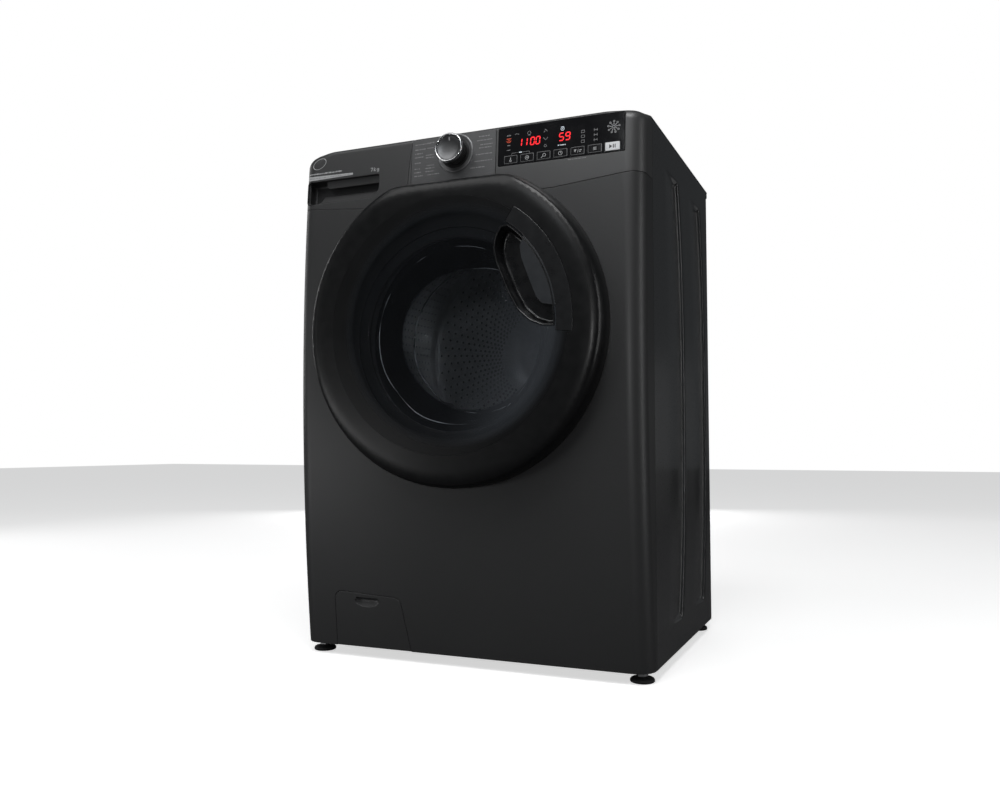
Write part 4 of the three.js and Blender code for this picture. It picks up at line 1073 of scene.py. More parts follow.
def pierced(n_round, n_deep, place, hole):
    """A sheet of revolution in a staggered grid of cells, each with a round hole.
    place(angle, step, side) gives the points of both faces; hole(step) is its half size in (angle, steps)."""
    half = math.pi / n_round
    index, verts, faces = {}, [], []

    def at(i2, j2, side):
        key = (i2 % (2 * n_round), j2, side)
        if key not in index:
            index[key] = len(verts)
            verts.append(place(i2 * half, j2 / 2, side))
        return index[key]
    ring8 = [(1, 0), (1, 1), (0, 1), (-1, 1), (-1, 0), (-1, -1), (0, -1), (1, -1)]
    for i in range(n_round):
        lift = i % 2
        for j in range(n_deep - lift):
            ci, cj = 2 * i + 1, 2 * j + 1 + lift
            ha, hj = hole(cj / 2)
            loops = []
            for side in (0, 1):
                outer = [at(ci + a, cj + c, side) for a, c in ring8]
                k = len(verts)
                verts += [place(ci * half + ha * math.cos(q * math.pi / 4),
                                cj / 2 + hj * math.sin(q * math.pi / 4), side)
                          for q in range(8)]
                loops.append((outer, list(range(k, k + 8))))
            (o0, h0), (o1, h1) = loops
            for q in range(8):
                w = (q + 1) % 8
                faces += [[o0[q], o0[w], h0[w], h0[q]], [o1[q], h1[q], h1[w], o1[w]],
                          [h0[q], h0[w], h1[w], h1[q]]]
        if lift:
            for j2 in (0, 2 * n_deep - 1):
                for side in (0, 1):
                    quad = [at(2 * i + k, j2, side) for k in (0, 1, 2)] + [at(2 * i + k, j2 + 1,
                            side) for k in (2, 1, 0)]
                    faces.append(quad if side == 0 else quad[::-1])
    for i2 in range(2 * n_round):
        for j2 in (0, 2 * n_deep):
            faces.append([at(i2, j2, 0), at(i2 + 1, j2, 0), at(i2 + 1, j2, 1), at(i2, j2, 1)])
    return verts, faces


HOLE_R = 2.5


def drum_back(r, a, side):
    """Depth of the drum's back: three broad star arms and a ring of shallow bosses, stamped forward."""
    lobe = 0.5 + 0.5 * math.cos(3 * (a - math.pi / 2))
    ramp = max(0.0, min(1.0, (r - 38) / 24)) * max(0.0, min(1.0, (214 - r) / 22))
    boss = math.exp(-((r - 150) / 34) ** 2) * (0.5 + 0.5 * math.cos(12 * a)) ** 2
    hub = 5 * max(0.0, min(1.0, (40 - r) / 10))
    return 128.6 - 8.5 * lobe ** 1.5 * ramp - 2.0 * boss - hub + side * 1.1


def make_drum():
    """The pierced wall and back, the stamped front opening and the rolled seam at the back."""
    b = Build()
    wall, deep, rows = 234.6, 13.3, 20

    def on_wall(a, step, side):
        r = wall - side * 0.9
        return (r * math.cos(a), -150 + step * deep, AXIS_Z + r * math.sin(a))
    b.add(*pierced(104, rows, on_wall, lambda step: (HOLE_R / wall, HOLE_R / deep)))
    front = [(165.2, -157), (165.0, -160.5), (166.0, -163.6), (168.0, -164.6), (170.6, -163.0), (172, -159.8),
             (200, -158.8), (214, -156.6), (228, -155.6), (233, -153.8), (234.9, -150), (234.9,
                     -149.4), (233.7, -149.4),
             (232.6, -152.6), (227.5, -154.5), (213.6, -155.4), (199.6, -157.6), (171, -158.4), (169.4, -162),
             (168, -163.2), (167, -162.4), (166.4, -160.2), (166.5, -157)]
    b.add(*lathe(front, 0, AXIS_Z, 128))
    inner, count, rings = 78.0, 78, 13
    grow = (224 / inner) ** (1 / rings)

    def on_back(a, step, side):
        r = inner * grow ** step
        return (r * math.cos(a), drum_back(r, a, side), AXIS_Z + r * math.sin(a))
    b.add(*pierced(count, rings, on_back, lambda step: (
        HOLE_R / (inner * grow ** step), HOLE_R / (inner * grow ** step * math.log(grow)))))
    n, radii = 2 * count, np.linspace(6, inner, 13)
    spokes = np.arange(n) * math.pi / count
    verts, faces = [], []
    for side in (0, 1):
        base = len(verts)
        verts.append((0, drum_back(0, 0, side), AXIS_Z))
        for r in radii:
            verts += [(r * math.cos(a), drum_back(r, a, side), AXIS_Z + r * math.sin(a)) for a in spokes]
        for k in range(n):
            w = (k + 1) % n
            faces.append([base, base + 1 + k, base + 1 + w][::1 if side else -1])
            for q in range(len(radii) - 1):
                i0, i1 = base + 1 + q * n, base + 1 + (q + 1) * n
                faces.append([i0 + k, i1 + k, i1 + w, i0 + w][::1 if side else -1])
    top, low = 1 + (len(radii) - 1) * n, len(verts) // 2 + 1 + (len(radii) - 1) * n
    faces += [[top + k, top + (k + 1) % n, low + (k + 1) % n, low + k] for k in range(n)]
    b.add(verts, faces)
    rim = [(221, 128.2), (224, 129.4), (229, 128.8), (233.2, 124), (234.4, 116.4), (233.4, 116.0),
           (232.2, 123.4),
           (228.4, 127.6), (224, 128.2), (221, 127.4)]
    b.add(*lathe(rim, 0, AXIS_Z, 128))
    b.make("drum_sheet", STAINLESS, "drum", "drum_shell", "stainless", sharp=38, weighted=False)


def make_lifter(index, angle):
    """A moulded paddle: broad foot, rounded crest, its ends sloping in."""
    y0, y1, tall, r0 = -134, 104, 49, 232.4
    ys = np.linspace(y0, y1, 40)
    ts = np.linspace(-1, 1, 25)
    a0 = math.radians(angle)
    nx, nz = math.cos(a0), math.sin(a0)
    top, low = [], []
    for y in ys:
        end = min(1.0, (y - y0) / 34) * min(1.0, (y1 - y) / 34)
        end = math.sin(max(end, 0.0) * math.pi / 2) ** 0.7 if end > 0 else 0.0
        for t in ts:
            wave = 1 + 0.035 * math.sin((y - y0) / (y1 - y0) * 2 * math.pi * 2)
            h = tall * end * wave * math.exp(-(abs(t) / 0.42) ** 2.4) + 0.8
            a = a0 + math.radians(8.6) * t
            x, z = r0 * math.cos(a), r0 * math.sin(a)
            squeeze = 1 - 0.35 * min(1.0, h / tall)
            off = r0 * math.sin(a - a0) * squeeze
            along = r0 * math.cos(a - a0) - h
            top.append((nx * along - nz * off, y, AXIS_Z + nz * along + nx * off))
            low.append((x, y, AXIS_Z + z))
    m = len(ts)
    verts, n = top + low, len(top)
    faces = []
    for i in range(len(ys) - 1):
        for j in range(m - 1):
            q = [i * m + j, i * m + j + 1, (i + 1) * m + j + 1, (i + 1) * m + j]
            faces += [q, [n + k for k in q[::-1]]]
        for j in (0, m - 1):
            faces.append([i * m + j, (i + 1) * m + j, n + (i + 1) * m + j, n + i * m + j])
    for i in (0, len(ys) - 1):
        faces += [[i * m + j, i * m + j + 1, n + i * m + j + 1, n + i * m + j] for j in range(m - 1)]
    name = f"lifter_{index}"
    Build().add(verts, faces).make(name, LIFTER, "drum", f"drum_lifter_{index}", "grey_plastic", sharp=60)


make_drum()
for number, turned_to in enumerate((90, 210, 330), 1):
    make_lifter(number, turned_to)
make_gasket()


# ------------------------------------------------------------------ dial
DIAL_X, DIAL_Z = -7.0, 816.0
DIAL_LEAN = (0.99758, 0.06959)


def on_dial(points):
    """From the dial's own frame, whose face looks along -Y, to its place on the leaning fascia."""
    p = np.asarray(points, float)
    c, t = DIAL_LEAN
    y, z = p[:, 1] * c + p[:, 2] * t, p[:, 2] * c - p[:, 1] * t
    return np.column_stack([p[:, 0] + DIAL_X, y + FRONT + bow(DIAL_Z), z + DIAL_Z])


def dial_body(profile, n=128, wave=None):
    """A turned piece of the dial; wave (from radius, up to depth, count, depth of cut) flutes its rim."""
    verts, faces = lathe([(r, -out) for r, out in profile], 0, 0, n)
    v = np.array(verts, float)
    if wave:
        low, high, count, deep = wave
        r = np.hypot(v[:, 0], v[:, 2])
        a = np.arctan2(v[:, 2], v[:, 0])
        near = (r > low) & (-v[:, 1] > 2) & (-v[:, 1] < high)
        k = np.where(near, 1 - deep / np.maximum(r, 1) * (0.5 + 0.5 * np.cos(a * count)) ** 2, 1.0)
        v[:, 0] *= k
        v[:, 2] *= k
    return on_dial(v), faces


def make_dial():
    skirt = [(8, 0.6), (20.2, 0.6), (21.1, 1.2), (21.4, 2.4), (21.7, 6), (22.1, 11), (22.4, 16), (22.5, 19.4),
             (22.2, 20.3), (8, 20.3)]
    Build().add(*dial_body(skirt, 288, (18, 19.6, 48, 0.75))).make(
        "dial_skirt", SKIRT, "dial", "dial_knob", "dial", sharp=40)
    ring = [(21.2, 20.4), (23.2, 20.5), (23.9, 21.4), (24.0, 23.4), (23.7, 25.0), (22.9, 25.85), (21.9, 26.0),
            (21.0, 25.5), (20.3, 24.4), (19.9, 23.0), (19.9, 21.2)]
    Build().add(*dial_body(ring)).make("dial_chrome_ring", CHROME, "dial", (), "dial", sharp=70)
    cap = [(0, 21.4), (6, 21.5), (12, 21.9), (16.5, 22.8), (18.9, 23.9), (19.6, 23.9), (19.8, 23.2),
           (19.8, 20.4),
           (0, 20.4)]
    Build().add(*dial_body(cap)).make("dial_cap", CAP, "dial", (), "dial", sharp=50)
    mark = Build()
    v, f = skin([box2d(-0.55, 0.55, 12.2, 18.2, 0.5)], lambda p: np.column_stack(
        [p[:, 0], -22.0 - (np.maximum(p[:, 1], 0) / 19.6) ** 4 * 1.9, p[:, 1]]), 0.25, rings=[(0, 0),
                (0, 0.25)])
    mark.add(on_dial(v), f)
    mark.make("dial_mark", PALE_PRINT, "dial", (), "dial")
    bezel = [(25.2, 0.02), (26.4, 0.1), (27.6, 0.7), (28.6, 1.15), (30.2, 1.3), (31.4, 1.0), (32.1, 0.3),
             (32.2, -0.6),
             (25.0, -0.6)]
    Build().add(*dial_body(bezel)).make("dial_bezel", BEZEL, "cabinet", (), "graphite_fascia", sharp=50)
    well = [(10.0, 0.35), (22.6, 0.3), (25.1, 0.25), (25.1, -0.6), (10.0, -0.6)]
    Build().add(*dial_body(well)).make("dial_well", SKIRT, "cabinet", (), "graphite_fascia", sharp=50)


make_dial()


# ------------------------------------------------------------------ prints
class Prints:
    """Thin printed or lit shapes, all of one material, just proud of a face."""

    def __init__(self, proud, deep=0.08):
        self.b, self.proud, self.deep = Build(), proud, deep

    def shape(self, *loops):
        self.b.add(*skin([np.asarray(l, float) for l in loops], set_back(-self.proud), self.deep,
                         rings=[(0, 0), (0, self.deep)]))
        return self

    def bar(self, x0, x1, z0, z1, r=0.0):
        return self.shape(box2d(x0, x1, z0, z1, r, 3))

    def frame(self, x0, x1, z0, z1, w, r=0.6):
        return self.shape(box2d(x0, x1, z0, z1, r, 3), box2d(x0 + w, x1 - w, z0 + w, z1 - w, max(r - w, 0.05),
                3))

    def ring(self, x, z, r, w, a0=0, a1=360, n=24):
        if a1 - a0 >= 360:
            return self.shape(circle(x, z, r, n), circle(x, z, r - w, n))
        return self.shape([*arc(x, z, r, a0, a1, n), *arc(x, z, r - w, a1, a0, n)])

    def dot(self, x, z, r):
        return self.shape(circle(x, z, r, 14))

    def stroke(self, w, *points):
        for (xa, za), (xb, zb) in zip(points, points[1:]):
            d = np.array([xb - xa, zb - za], float)
            d /= np.linalg.norm(d)
            n = np.array([-d[1], d[0]]) * w / 2
            a, c = np.array([xa, za]) - d * w * 0.3, np.array([xb, zb]) + d * w * 0.3
            self.shape([a - n, c - n, c + n, a + n])
        return self

    def dashes(self, x0, x1, z, h):
        """A row of small bars of chance lengths, in place of a line of text."""
        x = x0
        while x < x1 - 0.8:
            w = min(rng.choice((1.2, 1.8, 2.6, 3.6, 5.0)), x1 - x)
            self.bar(x, x + w, z, z + h * rng.choice((0.8, 1.0, 1.0)), 0.2)
            x += w + rng.choice((0.7, 0.9, 1.4))
        return self

    def digit(self, x, z, w, h, lit, t=1.7, slant=0.09):
        """A seven-segment figure; lit names its segments, a to g."""
        m = z + h / 2
        ends = {"a": ((x, z + h), (x + w, z + h)), "g": ((x, m), (x + w, m)), "d": ((x, z), (x + w, z)),
                "f": ((x, m), (x, z + h)), "b": ((x + w, m), (x + w, z + h)), "e": ((x, z), (x, m)),
                "c": ((x + w, z), (x + w, m))}
        for name in lit:
            a, b = (np.array(q, float) for q in ends[name])
            d = (b - a) / np.linalg.norm(b - a)
            n = np.array([-d[1], d[0]]) * t / 2
            a, b = a + d * (t / 2 + 0.18), b - d * (t / 2 + 0.18)
            pts = np.array([a - d * t / 2, a - n, b - n, b + d * t / 2, b + n, a + n])
            pts[:, 0] += (pts[:, 1] - z) * slant
            self.shape(pts)
        return self

    def make(self, name, material, body="cabinet", slot="graphite_fascia"):
        self.b.make(name, material, body, (), slot, smooth=False, weighted=False)


# ------------------------------------------------------------------ dial plate, display and keys
KEY_NODES = ("button_temperature", "button_spin_speed", "button_soil_level", "button_delay_start",
             "button_options", "button_extra_rinse", "start_pause_button")


def make_plate():
    outline = dense(box2d(*PLATE_X, PLATE_LOW, PLATE_HIGH, 1.0), 8)
    b = Build().add(*skin([outline, circle(DIAL_X, DIAL_Z, 12, 32)], set_back(0.12), 1.2,
                          grid_between(np.arange(-80, 62, 12),
                                       np.arange(776, 842, 8)), EDGE[1:] + [(0, 1.2)]))
    b.make("dial_plate_leaf", PLATE, "cabinet", "dial_plate", "graphite_fascia")
    rows = Prints(0.02)
    for z, x0, x1 in ((837.6, -80, -52), (829.0, -80, -60), (822.2, -80, -66), (816.0, -80, -64),
                      (806.4, -80, -69),
                      (796.6, -80, -70), (790.6, -80, -68), (784.6, -80, -62)):
        rows.dashes(x0, x1, z, 1.7)
    for z, x0, x1 in ((838.4, -58, -44), (829.6, -58, -46), (818.0, -60, -46), (813.6, -60, -45),
                      (800.4, -58, -45),
                      (795.8, -60, -44), (790.4, -60, -45), (784.8, -56, -34), (836.6, 34, 54), (830.2, 31,
                              58),
                      (822.8, 37, 58), (817.8, 35, 57), (807.4, 30, 58), (796.4, 28, 58), (786.4, 21, 46)):
        rows.dashes(x0, x1, z, 1.5)
    rows.make("dial_plate_print", DIM_PRINT)


def make_display():
    """The display's glass with its lit and grey prints, and the seven keys below it."""
    clear = KEY_HALF + GAP
    holes = [dense(box2d(x - clear, x + clear, KEY_LOW - GAP, KEY_HIGH + GAP, 0.8, 3), 6) for x in KEY_X]
    outline = dense(box2d(*SCREEN_X, SCREEN_LOW, SCREEN_HIGH, 2.0), 6)
    b = Build().add(*skin([outline, *holes], set_back(0.0), 2.4,
                          grid_between(np.arange(74, 270, 10), np.arange(803, 844, 8)), EDGE[1:] + [(0, 2.4)],
                          [(0.15, 0), (0.04, 0.06), (0, 0.2), (0, 2.4)]))
    b.make("display_glass", SCREEN, "cabinet", "display_window", "display")
    red = Prints(0.1)
    for x, lit in ((101.2, "bc"), (110.2, "bc"), (122.2, "abcdef"), (131.2, "abcdef")):
        red.digit(x, 812.2, 6.0, 11.6, lit)
    for x, lit in ((169.2, "acdfg"), (179.4, "abcdfg")):
        red.digit(x, 812.2, 6.6, 11.6, lit)
    red.make("display_digits", RED, slot="display")
    hot = Prints(0.1)
    hot.ring(86, 824.4, 4.4, 0.9, 200, 340, 12).bar(82.4, 89.8, 825.6, 827.0, 0.4).bar(84.2, 88, 822.6, 824.0,
            0.3)
    hot.make("display_icon_lit", RED_ICON, slot="display")
    cool = Prints(0.1)
    cool.ring(174.6, 830.6, 3.0, 0.8).stroke(0.8, (172.6, 833.8), (176.6, 833.8)).dot(174.6, 830.6, 0.9)
    cool.dashes(167.4, 180.0, 804.4, 1.6).bar(103.6, 108.6, 801.6, 803.2, 0.5)
    cool.make("display_icons_white", WHITE_ICON, slot="display")
    dim = Prints(0.1)
    dim.bar(82.6, 89.4, 831.0, 832.4, 0.3).bar(83.6, 88.4, 815.0, 816.2, 0.3).bar(83.0, 89.0, 807.6, 808.6,
            0.3)
    dim.stroke(0.7, (96, 832), (99, 833.4), (103, 831.8)).ring(120, 831.6, 3.0, 0.6).stroke(0.6, (118, 828),
            (122, 828))
    dim.stroke(0.8, (144.4, 829), (147, 834), (149.8, 830.4)).stroke(0.7, (143.6, 820.6), (147.4, 816.6),
            (151, 820.6))
    dim.ring(147, 807.4, 2.2, 0.6).stroke(0.5, (91.5, 799.9), (91.5, 802.4), (101, 802.4))
    dim.stroke(0.5, (111, 802.4), (121, 802.4), (121, 799.9))
    for i, z in enumerate((821.6, 814.0, 806.2)):
        dim.frame(204.6, 210.2, z - 2.2, z + 2.2, 0.6).bar(224.4, 230.6, z - 0.4, z + 0.4, 0.2)
        dim.stroke(0.6, (225.2, z - 2), (225.2, z + 2)).stroke(0.6, (229.8, z - 2), (229.8, z + 2))
    dim.make("display_icons_dim", DIM_PRINT, slot="display")
    star, (cx, cz) = Prints(0.1), (255.5, 822.4)
    for k in range(9):
        a = math.radians(40 * k + 8)
        c, d = math.cos(a), math.sin(a)
        star.stroke(0.9, (cx + 3.4 * c, cz + 3.4 * d), (cx + 6.2 * c, cz + 6.2 * d))
        star.ring(cx + 8.6 * c, cz + 8.6 * d, 1.5, 0.7, n=12)
    star.ring(cx, cz, 2.4, 0.8)
    star.make("display_star", PRINT, slot="display")
    for i, (x, node) in enumerate(zip(KEY_X, KEY_NODES)):
        start = i == 6
        face = dense(box2d(x - KEY_HALF, x + KEY_HALF, KEY_LOW, KEY_HIGH, 0.9, 3), 6)
        b = Build().add(*skin([face], set_back(-0.5), 7.4, grid_between(np.arange(x - 8, x + 9, 4),
                (789, 792.5, 796)),
                              [(0.6, 0), (0.25, 0.08), (0.05, 0.28), (0, 0.6), (0, 7.4)], near=1.5))
        b.make(node + "_cap", SILVER_KEY if start else KEY, node, node,
               "silver_key" if start else "gloss_black")
        marks = Prints(0.56)
        if start:
            marks.shape([(x - 5, 789.4), (x - 0.4, 792.5), (x - 5, 795.6)])
            marks.bar(x + 0.8, x + 2.2, 789.6, 795.4, 0.2).bar(x + 3.4, x + 4.8, 789.6, 795.4, 0.2)
            marks.make("start_mark", DARK_PRINT, node, "silver_key")
            continue
        edge = Prints(0.56)
        edge.frame(x - 10.7, x + 10.7, 786.5, 798.5, 0.45, 0.8)
        edge.make(node + "_edge", FRAME_PRINT, node, "gloss_black")
        m = 792.3
        if i == 0:
            marks.bar(x - 0.8, x + 0.4, m - 1, m + 3.4, 0.4).ring(x - 0.2, m - 1.8, 1.9, 0.8)
        elif i == 1:
            marks.ring(x, m, 3.2, 0.8).dot(x, m, 1.0)
        elif i == 2:
            marks.ring(x + 1, m + 0.6, 2.8, 0.8).stroke(0.9, (x - 1.2, m - 1.4), (x - 3.8, m - 3.2))
        elif i == 3:
            marks.ring(x, m, 3.4, 0.7).stroke(0.7, (x, m + 2), (x, m), (x + 1.8, m - 0.4))
        elif i == 4:
            marks.shape([(x - 6, m + 2.4), (x - 1.6, m + 2.4), (x - 3.8, m - 2.4)]).stroke(0.6, (x, m - 2.6),
                    (x + 1.4, m + 2.6))
            marks.bar(x + 2.6, x + 7, m + 0.4, m + 1.4, 0.2).bar(x + 2.6, x + 5.6, m - 1.8, m - 0.8, 0.2)
        else:
            marks.bar(x - 2.6, x + 2.6, m + 1.4, m + 2.3, 0.2).bar(x - 2.6, x + 2.6, m - 0.4, m + 0.5, 0.2)
            marks.bar(x - 2.6, x + 2.6, m - 2.2, m - 1.3, 0.2)
        marks.make(node + "_mark", PRINT, node, "gloss_black")


def make_drawer_prints():
    pale = Prints(0.04)
    pale.shape(rounded([(-286, 801.2), (-198, 803.0), (-197, 806.6), (-286, 808.6)], [1.0, 1.6, 1.6, 1.0], 3))
    pale.make("drawer_strip", PRINT, "drawer")
    dark = Prints(0.09, 0.05)
    dark.dashes(-284, -204, 804.2, 1.1)
    dark.make("drawer_strip_marks", DIM_PRINT, "drawer")
    grey = Prints(0.04)
    grey.dashes(-285, -220, 811.2, 2.4)
    a = np.linspace(0, 2 * math.pi, 48, endpoint=False)
    oval = np.column_stack([np.cos(a) + np.sin(a) * 0.12, 0.72 * np.sin(a) + np.cos(a) * 0.16])
    grey.shape(oval * 13.0 + [-265.5, 829.5], oval * 11.8 + [-265.5, 829.5])
    x, z = -163.0, 804.2
    grey.stroke(0.95, (x, z + 5.6), (x + 3.6, z + 5.6), (x + 1.4, z))
    x = -156.6
    grey.stroke(0.95, (x, z), (x, z + 5.8)).stroke(0.85, (x + 2.8, z + 3.8), (x + 0.3, z + 1.9), (x + 2.9, z))
    x = -151.0
    grey.ring(x + 1.5, z + 1.9, 2.0, 0.85, n=16).stroke(0.85, (x + 3.3, z + 3.8), (x + 3.3, z - 0.9),
                                                        (x + 2.2, z - 1.8),
                                                       (x + 0.4, z - 1.6))
    grey.make("drawer_prints", PRINT, "drawer")
    under = Prints(0.04)
    under.dashes(184, 214, 779.8, 1.3)
    under.make("panel_note_bars", DIM_PRINT)


make_plate()
make_display()
make_drawer_prints()


# ------------------------------------------------------------------ feet, worktop, back
def upright(verts, x, y):
    """A turned body about Y becomes one about Z: its depth coordinate is the height."""
    v = np.asarray(verts, float)
    return np.column_stack([v[:, 0] + x, v[:, 2] + y, v[:, 1]])


def make_foot(name, x, y):
    """A rubber pad with a fluted rim, its hexagon nut and its threaded stem."""
    pad = Build()
    shape = [(6, 0.02), (16.4, 0.02), (17.6, 0.5), (18.3, 1.4), (18.5, 2.6), (18.3, 4.2), (17.4, 5.6),
             (15.4, 6.8),
             (12, 7.6), (10.4, 8.2), (6, 8.2)]
    v, f = lathe(shape, 0, 0, 72)
    v = np.array(v)
    r, a = np.hypot(v[:, 0], v[:, 2]), np.arctan2(v[:, 2], v[:, 0])
    k = np.where((r > 15) & (v[:, 1] > 0.4), 1 - 0.018 * (0.5 + 0.5 * np.cos(24 * a)) ** 3, 1)
    v[:, 0] *= k
    v[:, 2] *= k
    pad.add(upright(v, x, y), f)
    pad.make(name + "_pad", RUBBER, name, name, "foot_steel", sharp=45)
    screw = Build()
    v, f = lathe([(6, 8.3), (7.6, 8.3), (8.9, 9.1), (8.9, 13.7), (7.6, 14.5), (6, 14.5)], 0, 0, 6)
    screw.add(upright(v, x, y), f)
    thread, z = [(3.6, 0.6)], 0.6
    while z < 53.4:
        thread += [(4.2, z + 0.15), (4.95, z + 0.6), (4.95, z + 0.8), (4.2, z + 1.25)]
        z += 1.3
    thread += [(3.6, z + 0.2)]
    v, f = lathe([(0, 0.6)] + thread + [(0, z + 0.2)], 0, 0, 20)
    screw.add(upright(v, x, y), f)
    screw.make(name + "_screw", FOOT_STEEL, name, (), "foot_steel", sharp=30, weighted=False)


def slab(loops, z0, z1, r, pts=()):
    """A level plate between two heights with a rounded top edge."""
    rings = [(r * (1 - math.sin(t)), r * (1 - math.cos(t))) for t in np.radians((0, 22.5, 45, 67.5, 90))]
    back = z1 - z0
    return skin(loops, level_at(z1), back, pts, rings + [(0, back - r * 0.5), (r * 0.4, back)], None, 2.0)


def make_worktop():
    outer = rounded([(-HALF, SIDE_FRONT), (HALF, SIDE_FRONT), (HALF, 285), (-HALF, 285)], [1, 1, 14, 14], 8)
    inner = rounded([(-286, -166), (286, -166), (286, 252), (-286, 252)], 6, 6)
    outer, inner = dense(outer, 24), dense(inner, 24)
    b = Build().add(*slab([outer, inner], 846.8, 850, 1.5))
    trim = rounded([(-299.6, 262.6), (299.6, 262.6), (299.6, 284.6), (-299.6, 284.6)], [0.5, 0.5, 13, 13], 8)
    b.add(*slab([dense(trim, 24)], 838.2, 846.7, 1.2))
    for i in range(17):
        x = -272 + 34 * i
        b.add(*slab([box2d(x - 1.4, x + 1.4, 264, 283, 0.6, 2)], 838.0, 838.8, 0.3))
    b.make("worktop_frame", WORKTOP, "cabinet", "top_cover", "worktop")
    board = dense(rounded([(-285.5, -165.5), (285.5, -165.5), (285.5, 251.5), (-285.5, 251.5)], 5.5, 6), 24)
    b = Build().add(*slab([board], 837.2, 849.3, 0.7, grid_between(np.arange(-260, 261, 40),
            np.arange(-140, 240, 40))))
    b.make("worktop_board", BOARD, "cabinet", (), "worktop")


def make_rear():
    """Screws, transit bolt plugs, louvres and round pressings on the back."""
    screws = Build()
    spots = [(x, z) for x in (-286, 286) for z in (40, 180, 320, 460, 600, 740, 822)]
    spots += [(x, z) for z in (32, 824) for x in (-190, -95, 0, 95, 190) if not (z > 800 and x > 180)]
    for x, z in spots:
        v, f = lathe([(0, 265.6), (2.0, 265.6), (4.3, 265.0), (5.2, 264.2), (5.2, 263.2), (8.4, 262.9),
                      (8.6, 262.3),
                      (8.6, REAR_FACE), (0, REAR_FACE)], x, z, 24)
        screws.add(v, f)
        screws.add(*screw_cross(x, z))
    screws.make("rear_screws", ZINC, "cabinet", (), "zinc_steel", sharp=35)
    plugs = Build()
    for x, z in ((-175, 270), (175, 270), (-175, 735), (175, 735)):
        v, f = lathe([(0, 265.6), (9, 266.0), (14.6, 266.4), (16.6, 265.8), (17.4, 264.4), (17.4, REAR_FACE),
                      (0, REAR_FACE)], x, z, 40)
        plugs.add(v, f)
    plugs.make("transit_plugs", MATT_BLACK, "cabinet", (), "black_plastic", sharp=40)
    vents = Build()
    for i in range(9):
        z = 760 - 9 * i
        shape = rounded([(-44, z), (44, z), (44, z + 4), (-44, z + 4)], 1.9, 5)
        v, f = skin([shape], lambda p: np.column_stack([p[:, 0], 264.4 - (p[:, 1] - z) * 0.5, p[:, 1]]), -2.2,
                    rings=[(0.5, 0), (0.15, -0.15), (0, -0.5), (0, -2.2)])
        vents.add(v, f)
    vents.make("rear_vents", REAR, "cabinet", (), "rear_sheet", sharp=40)
    ribs = Build()
    for k in range(4):
        r = 46 + 26 * k
        v, f = lathe([(r, 270.8), (r + 1.4, 272.0), (r + 4, 272.5), (r + 6.6, 272.0), (r + 8, 270.8)], 0,
                     AXIS_Z, 96)
        ribs.add(v, f)
    ribs.make("rear_pressings", REAR, "cabinet", (), "rear_sheet", sharp=60)


def screw_cross(x, z):
    """The cross of a screw's head, drawn as a thin cross that stands proud instead of a recess."""
    cross = [(-2.6, -0.5), (-0.5, -0.5), (-0.5, -2.6), (0.5, -2.6), (0.5, -0.5), (2.6, -0.5), (2.6, 0.5),
             (0.5, 0.5),
             (0.5, 2.6), (-0.5, 2.6), (-0.5, 0.5), (-2.6, 0.5)]
    loop = np.array(cross) + [x, z]
    return skin([loop], upright_at(265.9), -0.5, rings=[(0, 0), (0, -0.5)])


for corner, (fx, fy) in {"front_left": (-278, -180), "front_right": (278, -180), "rear_left": (-278, 236),
                         "rear_right": (278, 236)}.items():
    make_foot("foot_" + corner, fx, fy)
make_worktop()
make_rear()


# ------------------------------------------------------------------ camera, fitted to the photo's features
cam_data = bpy.data.cameras.new("camera")
cam = bpy.data.objects.new("camera", cam_data)
bpy.context.scene.collection.objects.link(cam)
yaw, pitch = math.radians(22.93), math.radians(3.40)
look = Vector((-math.sin(yaw) * math.cos(pitch), math.cos(yaw) * math.cos(pitch), math.sin(pitch)))
cam.location = (0.6224, -1.5097, 0.3484)
cam.rotation_mode = "QUATERNION"
cam.rotation_quaternion = look.to_track_quat("-Z", "Y")
cam_data.lens = 32.53
cam_data.sensor_width = 36.0
cam_data.shift_x, cam_data.shift_y = -0.0066, -0.0081
bpy.context.scene.camera = cam

# ------------------------------------------------------------------ white surroundings, floor, lights
bpy.context.scene.view_settings.view_transform = "Standard"
world = bpy.data.worlds.new("world")
bpy.context.scene.world = world
world.use_nodes = True
wt = world.node_tree
wt.nodes.clear()
wo = wt.nodes.new("ShaderNodeOutputWorld")
wm = wt.nodes.new("ShaderNodeMixShader")
wl = wt.nodes.new("ShaderNodeLightPath")
dim, white = wt.nodes.new("ShaderNodeBackground"), wt.nodes.new("ShaderNodeBackground")
dim.inputs[0].default_value, dim.inputs[1].default_value = (0.9, 0.95, 1.0, 1), 0.05
white.inputs[0].default_value, white.inputs[1].default_value = (1, 1, 1, 1), 1.0
wt.links.new(wl.outputs["Is Camera Ray"], wm.inputs[0])
wt.links.new(dim.outputs[0], wm.inputs[1])
wt.links.new(white.outputs[0], wm.inputs[2])
wt.links.new(wm.outputs[0], wo.inputs[0])

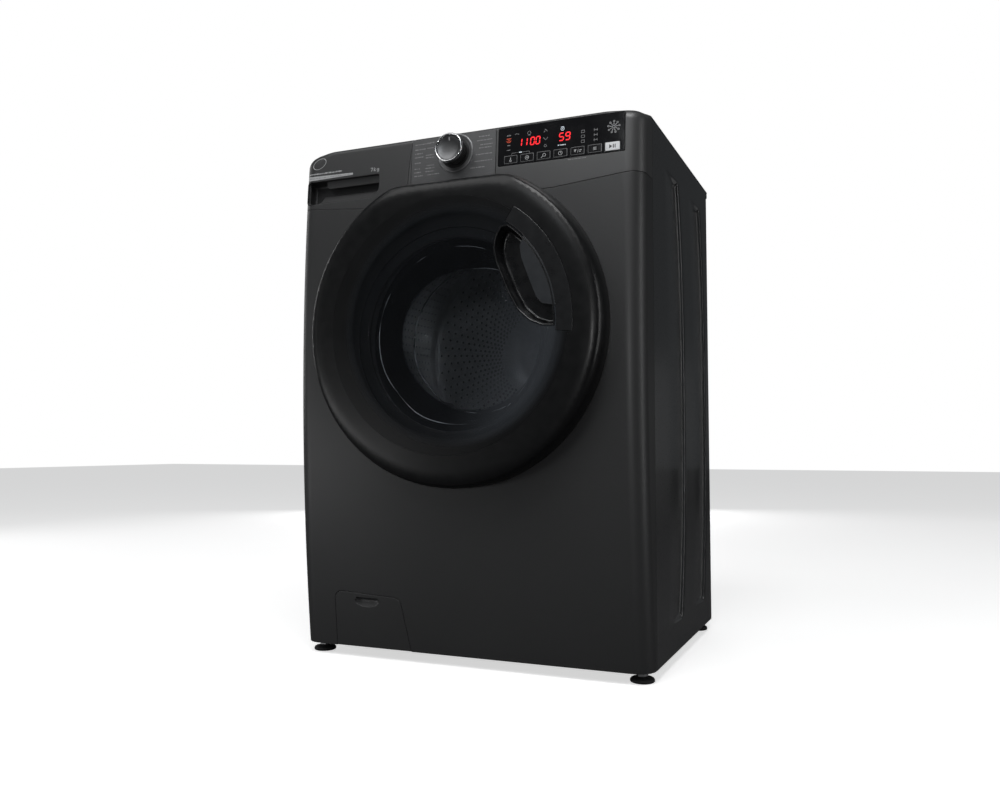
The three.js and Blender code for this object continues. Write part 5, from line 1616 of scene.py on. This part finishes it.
bm = bmesh.new()
bmesh.ops.create_grid(bm, x_segments=2, y_segments=2, size=12.0)
floor_mesh = bpy.data.meshes.new("floor")
bm.to_mesh(floor_mesh)
bm.free()
floor = bpy.data.objects.new("floor", floor_mesh)
bpy.context.scene.collection.objects.link(floor)
fm = Nodes("floor_pale")
lit = fm.node("BsdfPrincipled", {"Base Color": fm.colours(fm.noise(3.0), (0.80, 0.80, 0.80),
                                                          (0.82, 0.82, 0.82)),
                                 "Roughness": 0.7, "Emission Color": (1, 1, 1, 1), "Emission Strength": 0.62})
quiet = fm.node("BsdfDiffuse", {"Color": (0.12, 0.12, 0.123, 1)})
floor_mesh.materials.append(fm.finish(fm.node("MixShader", {
    0: fm.node("LightPath").outputs["Is Camera Ray"], 1: quiet.outputs[0], 2: lit.outputs[0]}).outputs[0]))


def softbox(name, at, aim, size, radiance, colour=(1, 1, 1)):
    """A rectangular light of one even brightness, set as the radiance that its face shows."""
    data = bpy.data.lights.new(name, "AREA")
    data.shape = "RECTANGLE"
    data.size, data.size_y = size
    data.energy = radiance * math.pi * size[0] * size[1]
    data.color = colour
    lamp = bpy.data.objects.new(name, data)
    bpy.context.scene.collection.objects.link(lamp)
    lamp.location = at
    lamp.rotation_mode = "QUATERNION"
    lamp.rotation_quaternion = (Vector(aim) - Vector(at)).to_track_quat("-Z", "Y")
    return lamp


softbox("key", (-1.3, -1.9, 3.1), (0, -0.1, 0.5), (1.8, 1.6), 2.4)
softbox("upper_right", (0.0, -2.3, 2.0), (0.25, -0.24, 0.75), (0.6, 0.7), 3.6, (0.95, 0.98, 1.0))
softbox("top_right", (0.5, -1.2, 2.7), (0.2, -0.2, 0.8), (1.1, 1.1), 8.6)
softbox("lower_left", (-1.7, -1.75, 0.17), (-0.2, -0.24, 0.15), (1.3, 0.3), 4.0)
softbox("left", (-2.3, -1.6, 0.9), (-0.2, -0.24, 0.5), (0.5, 1.2), 0.5)
softbox("front_right", (1.1, -2.3, 2.6), (0.0, -0.1, 0.5), (1.0, 1.0), 1.0)
softbox("into_drum", (0.75, -2.2, 0.62), (0.0, 0.1, 0.5), (0.22, 0.22), 26.0)
softbox("side", (2.6, -0.15, 0.8), (0.3, 0.0, 0.45), (0.28, 1.8), 6.4)
softbox("behind_right", (1.5, 3.2, 0.4), (0.3, 0.1, 0.4), (0.6, 0.8), 0.2)
softbox("behind", (-1.3, 3.1, 0.45), (0.0, 0.28, 0.45), (1.8, 0.6), 6.0)
softbox("left_side", (-2.8, 0.4, 1.2), (-0.3, 0.0, 0.45), (0.5, 1.6), 3.0)
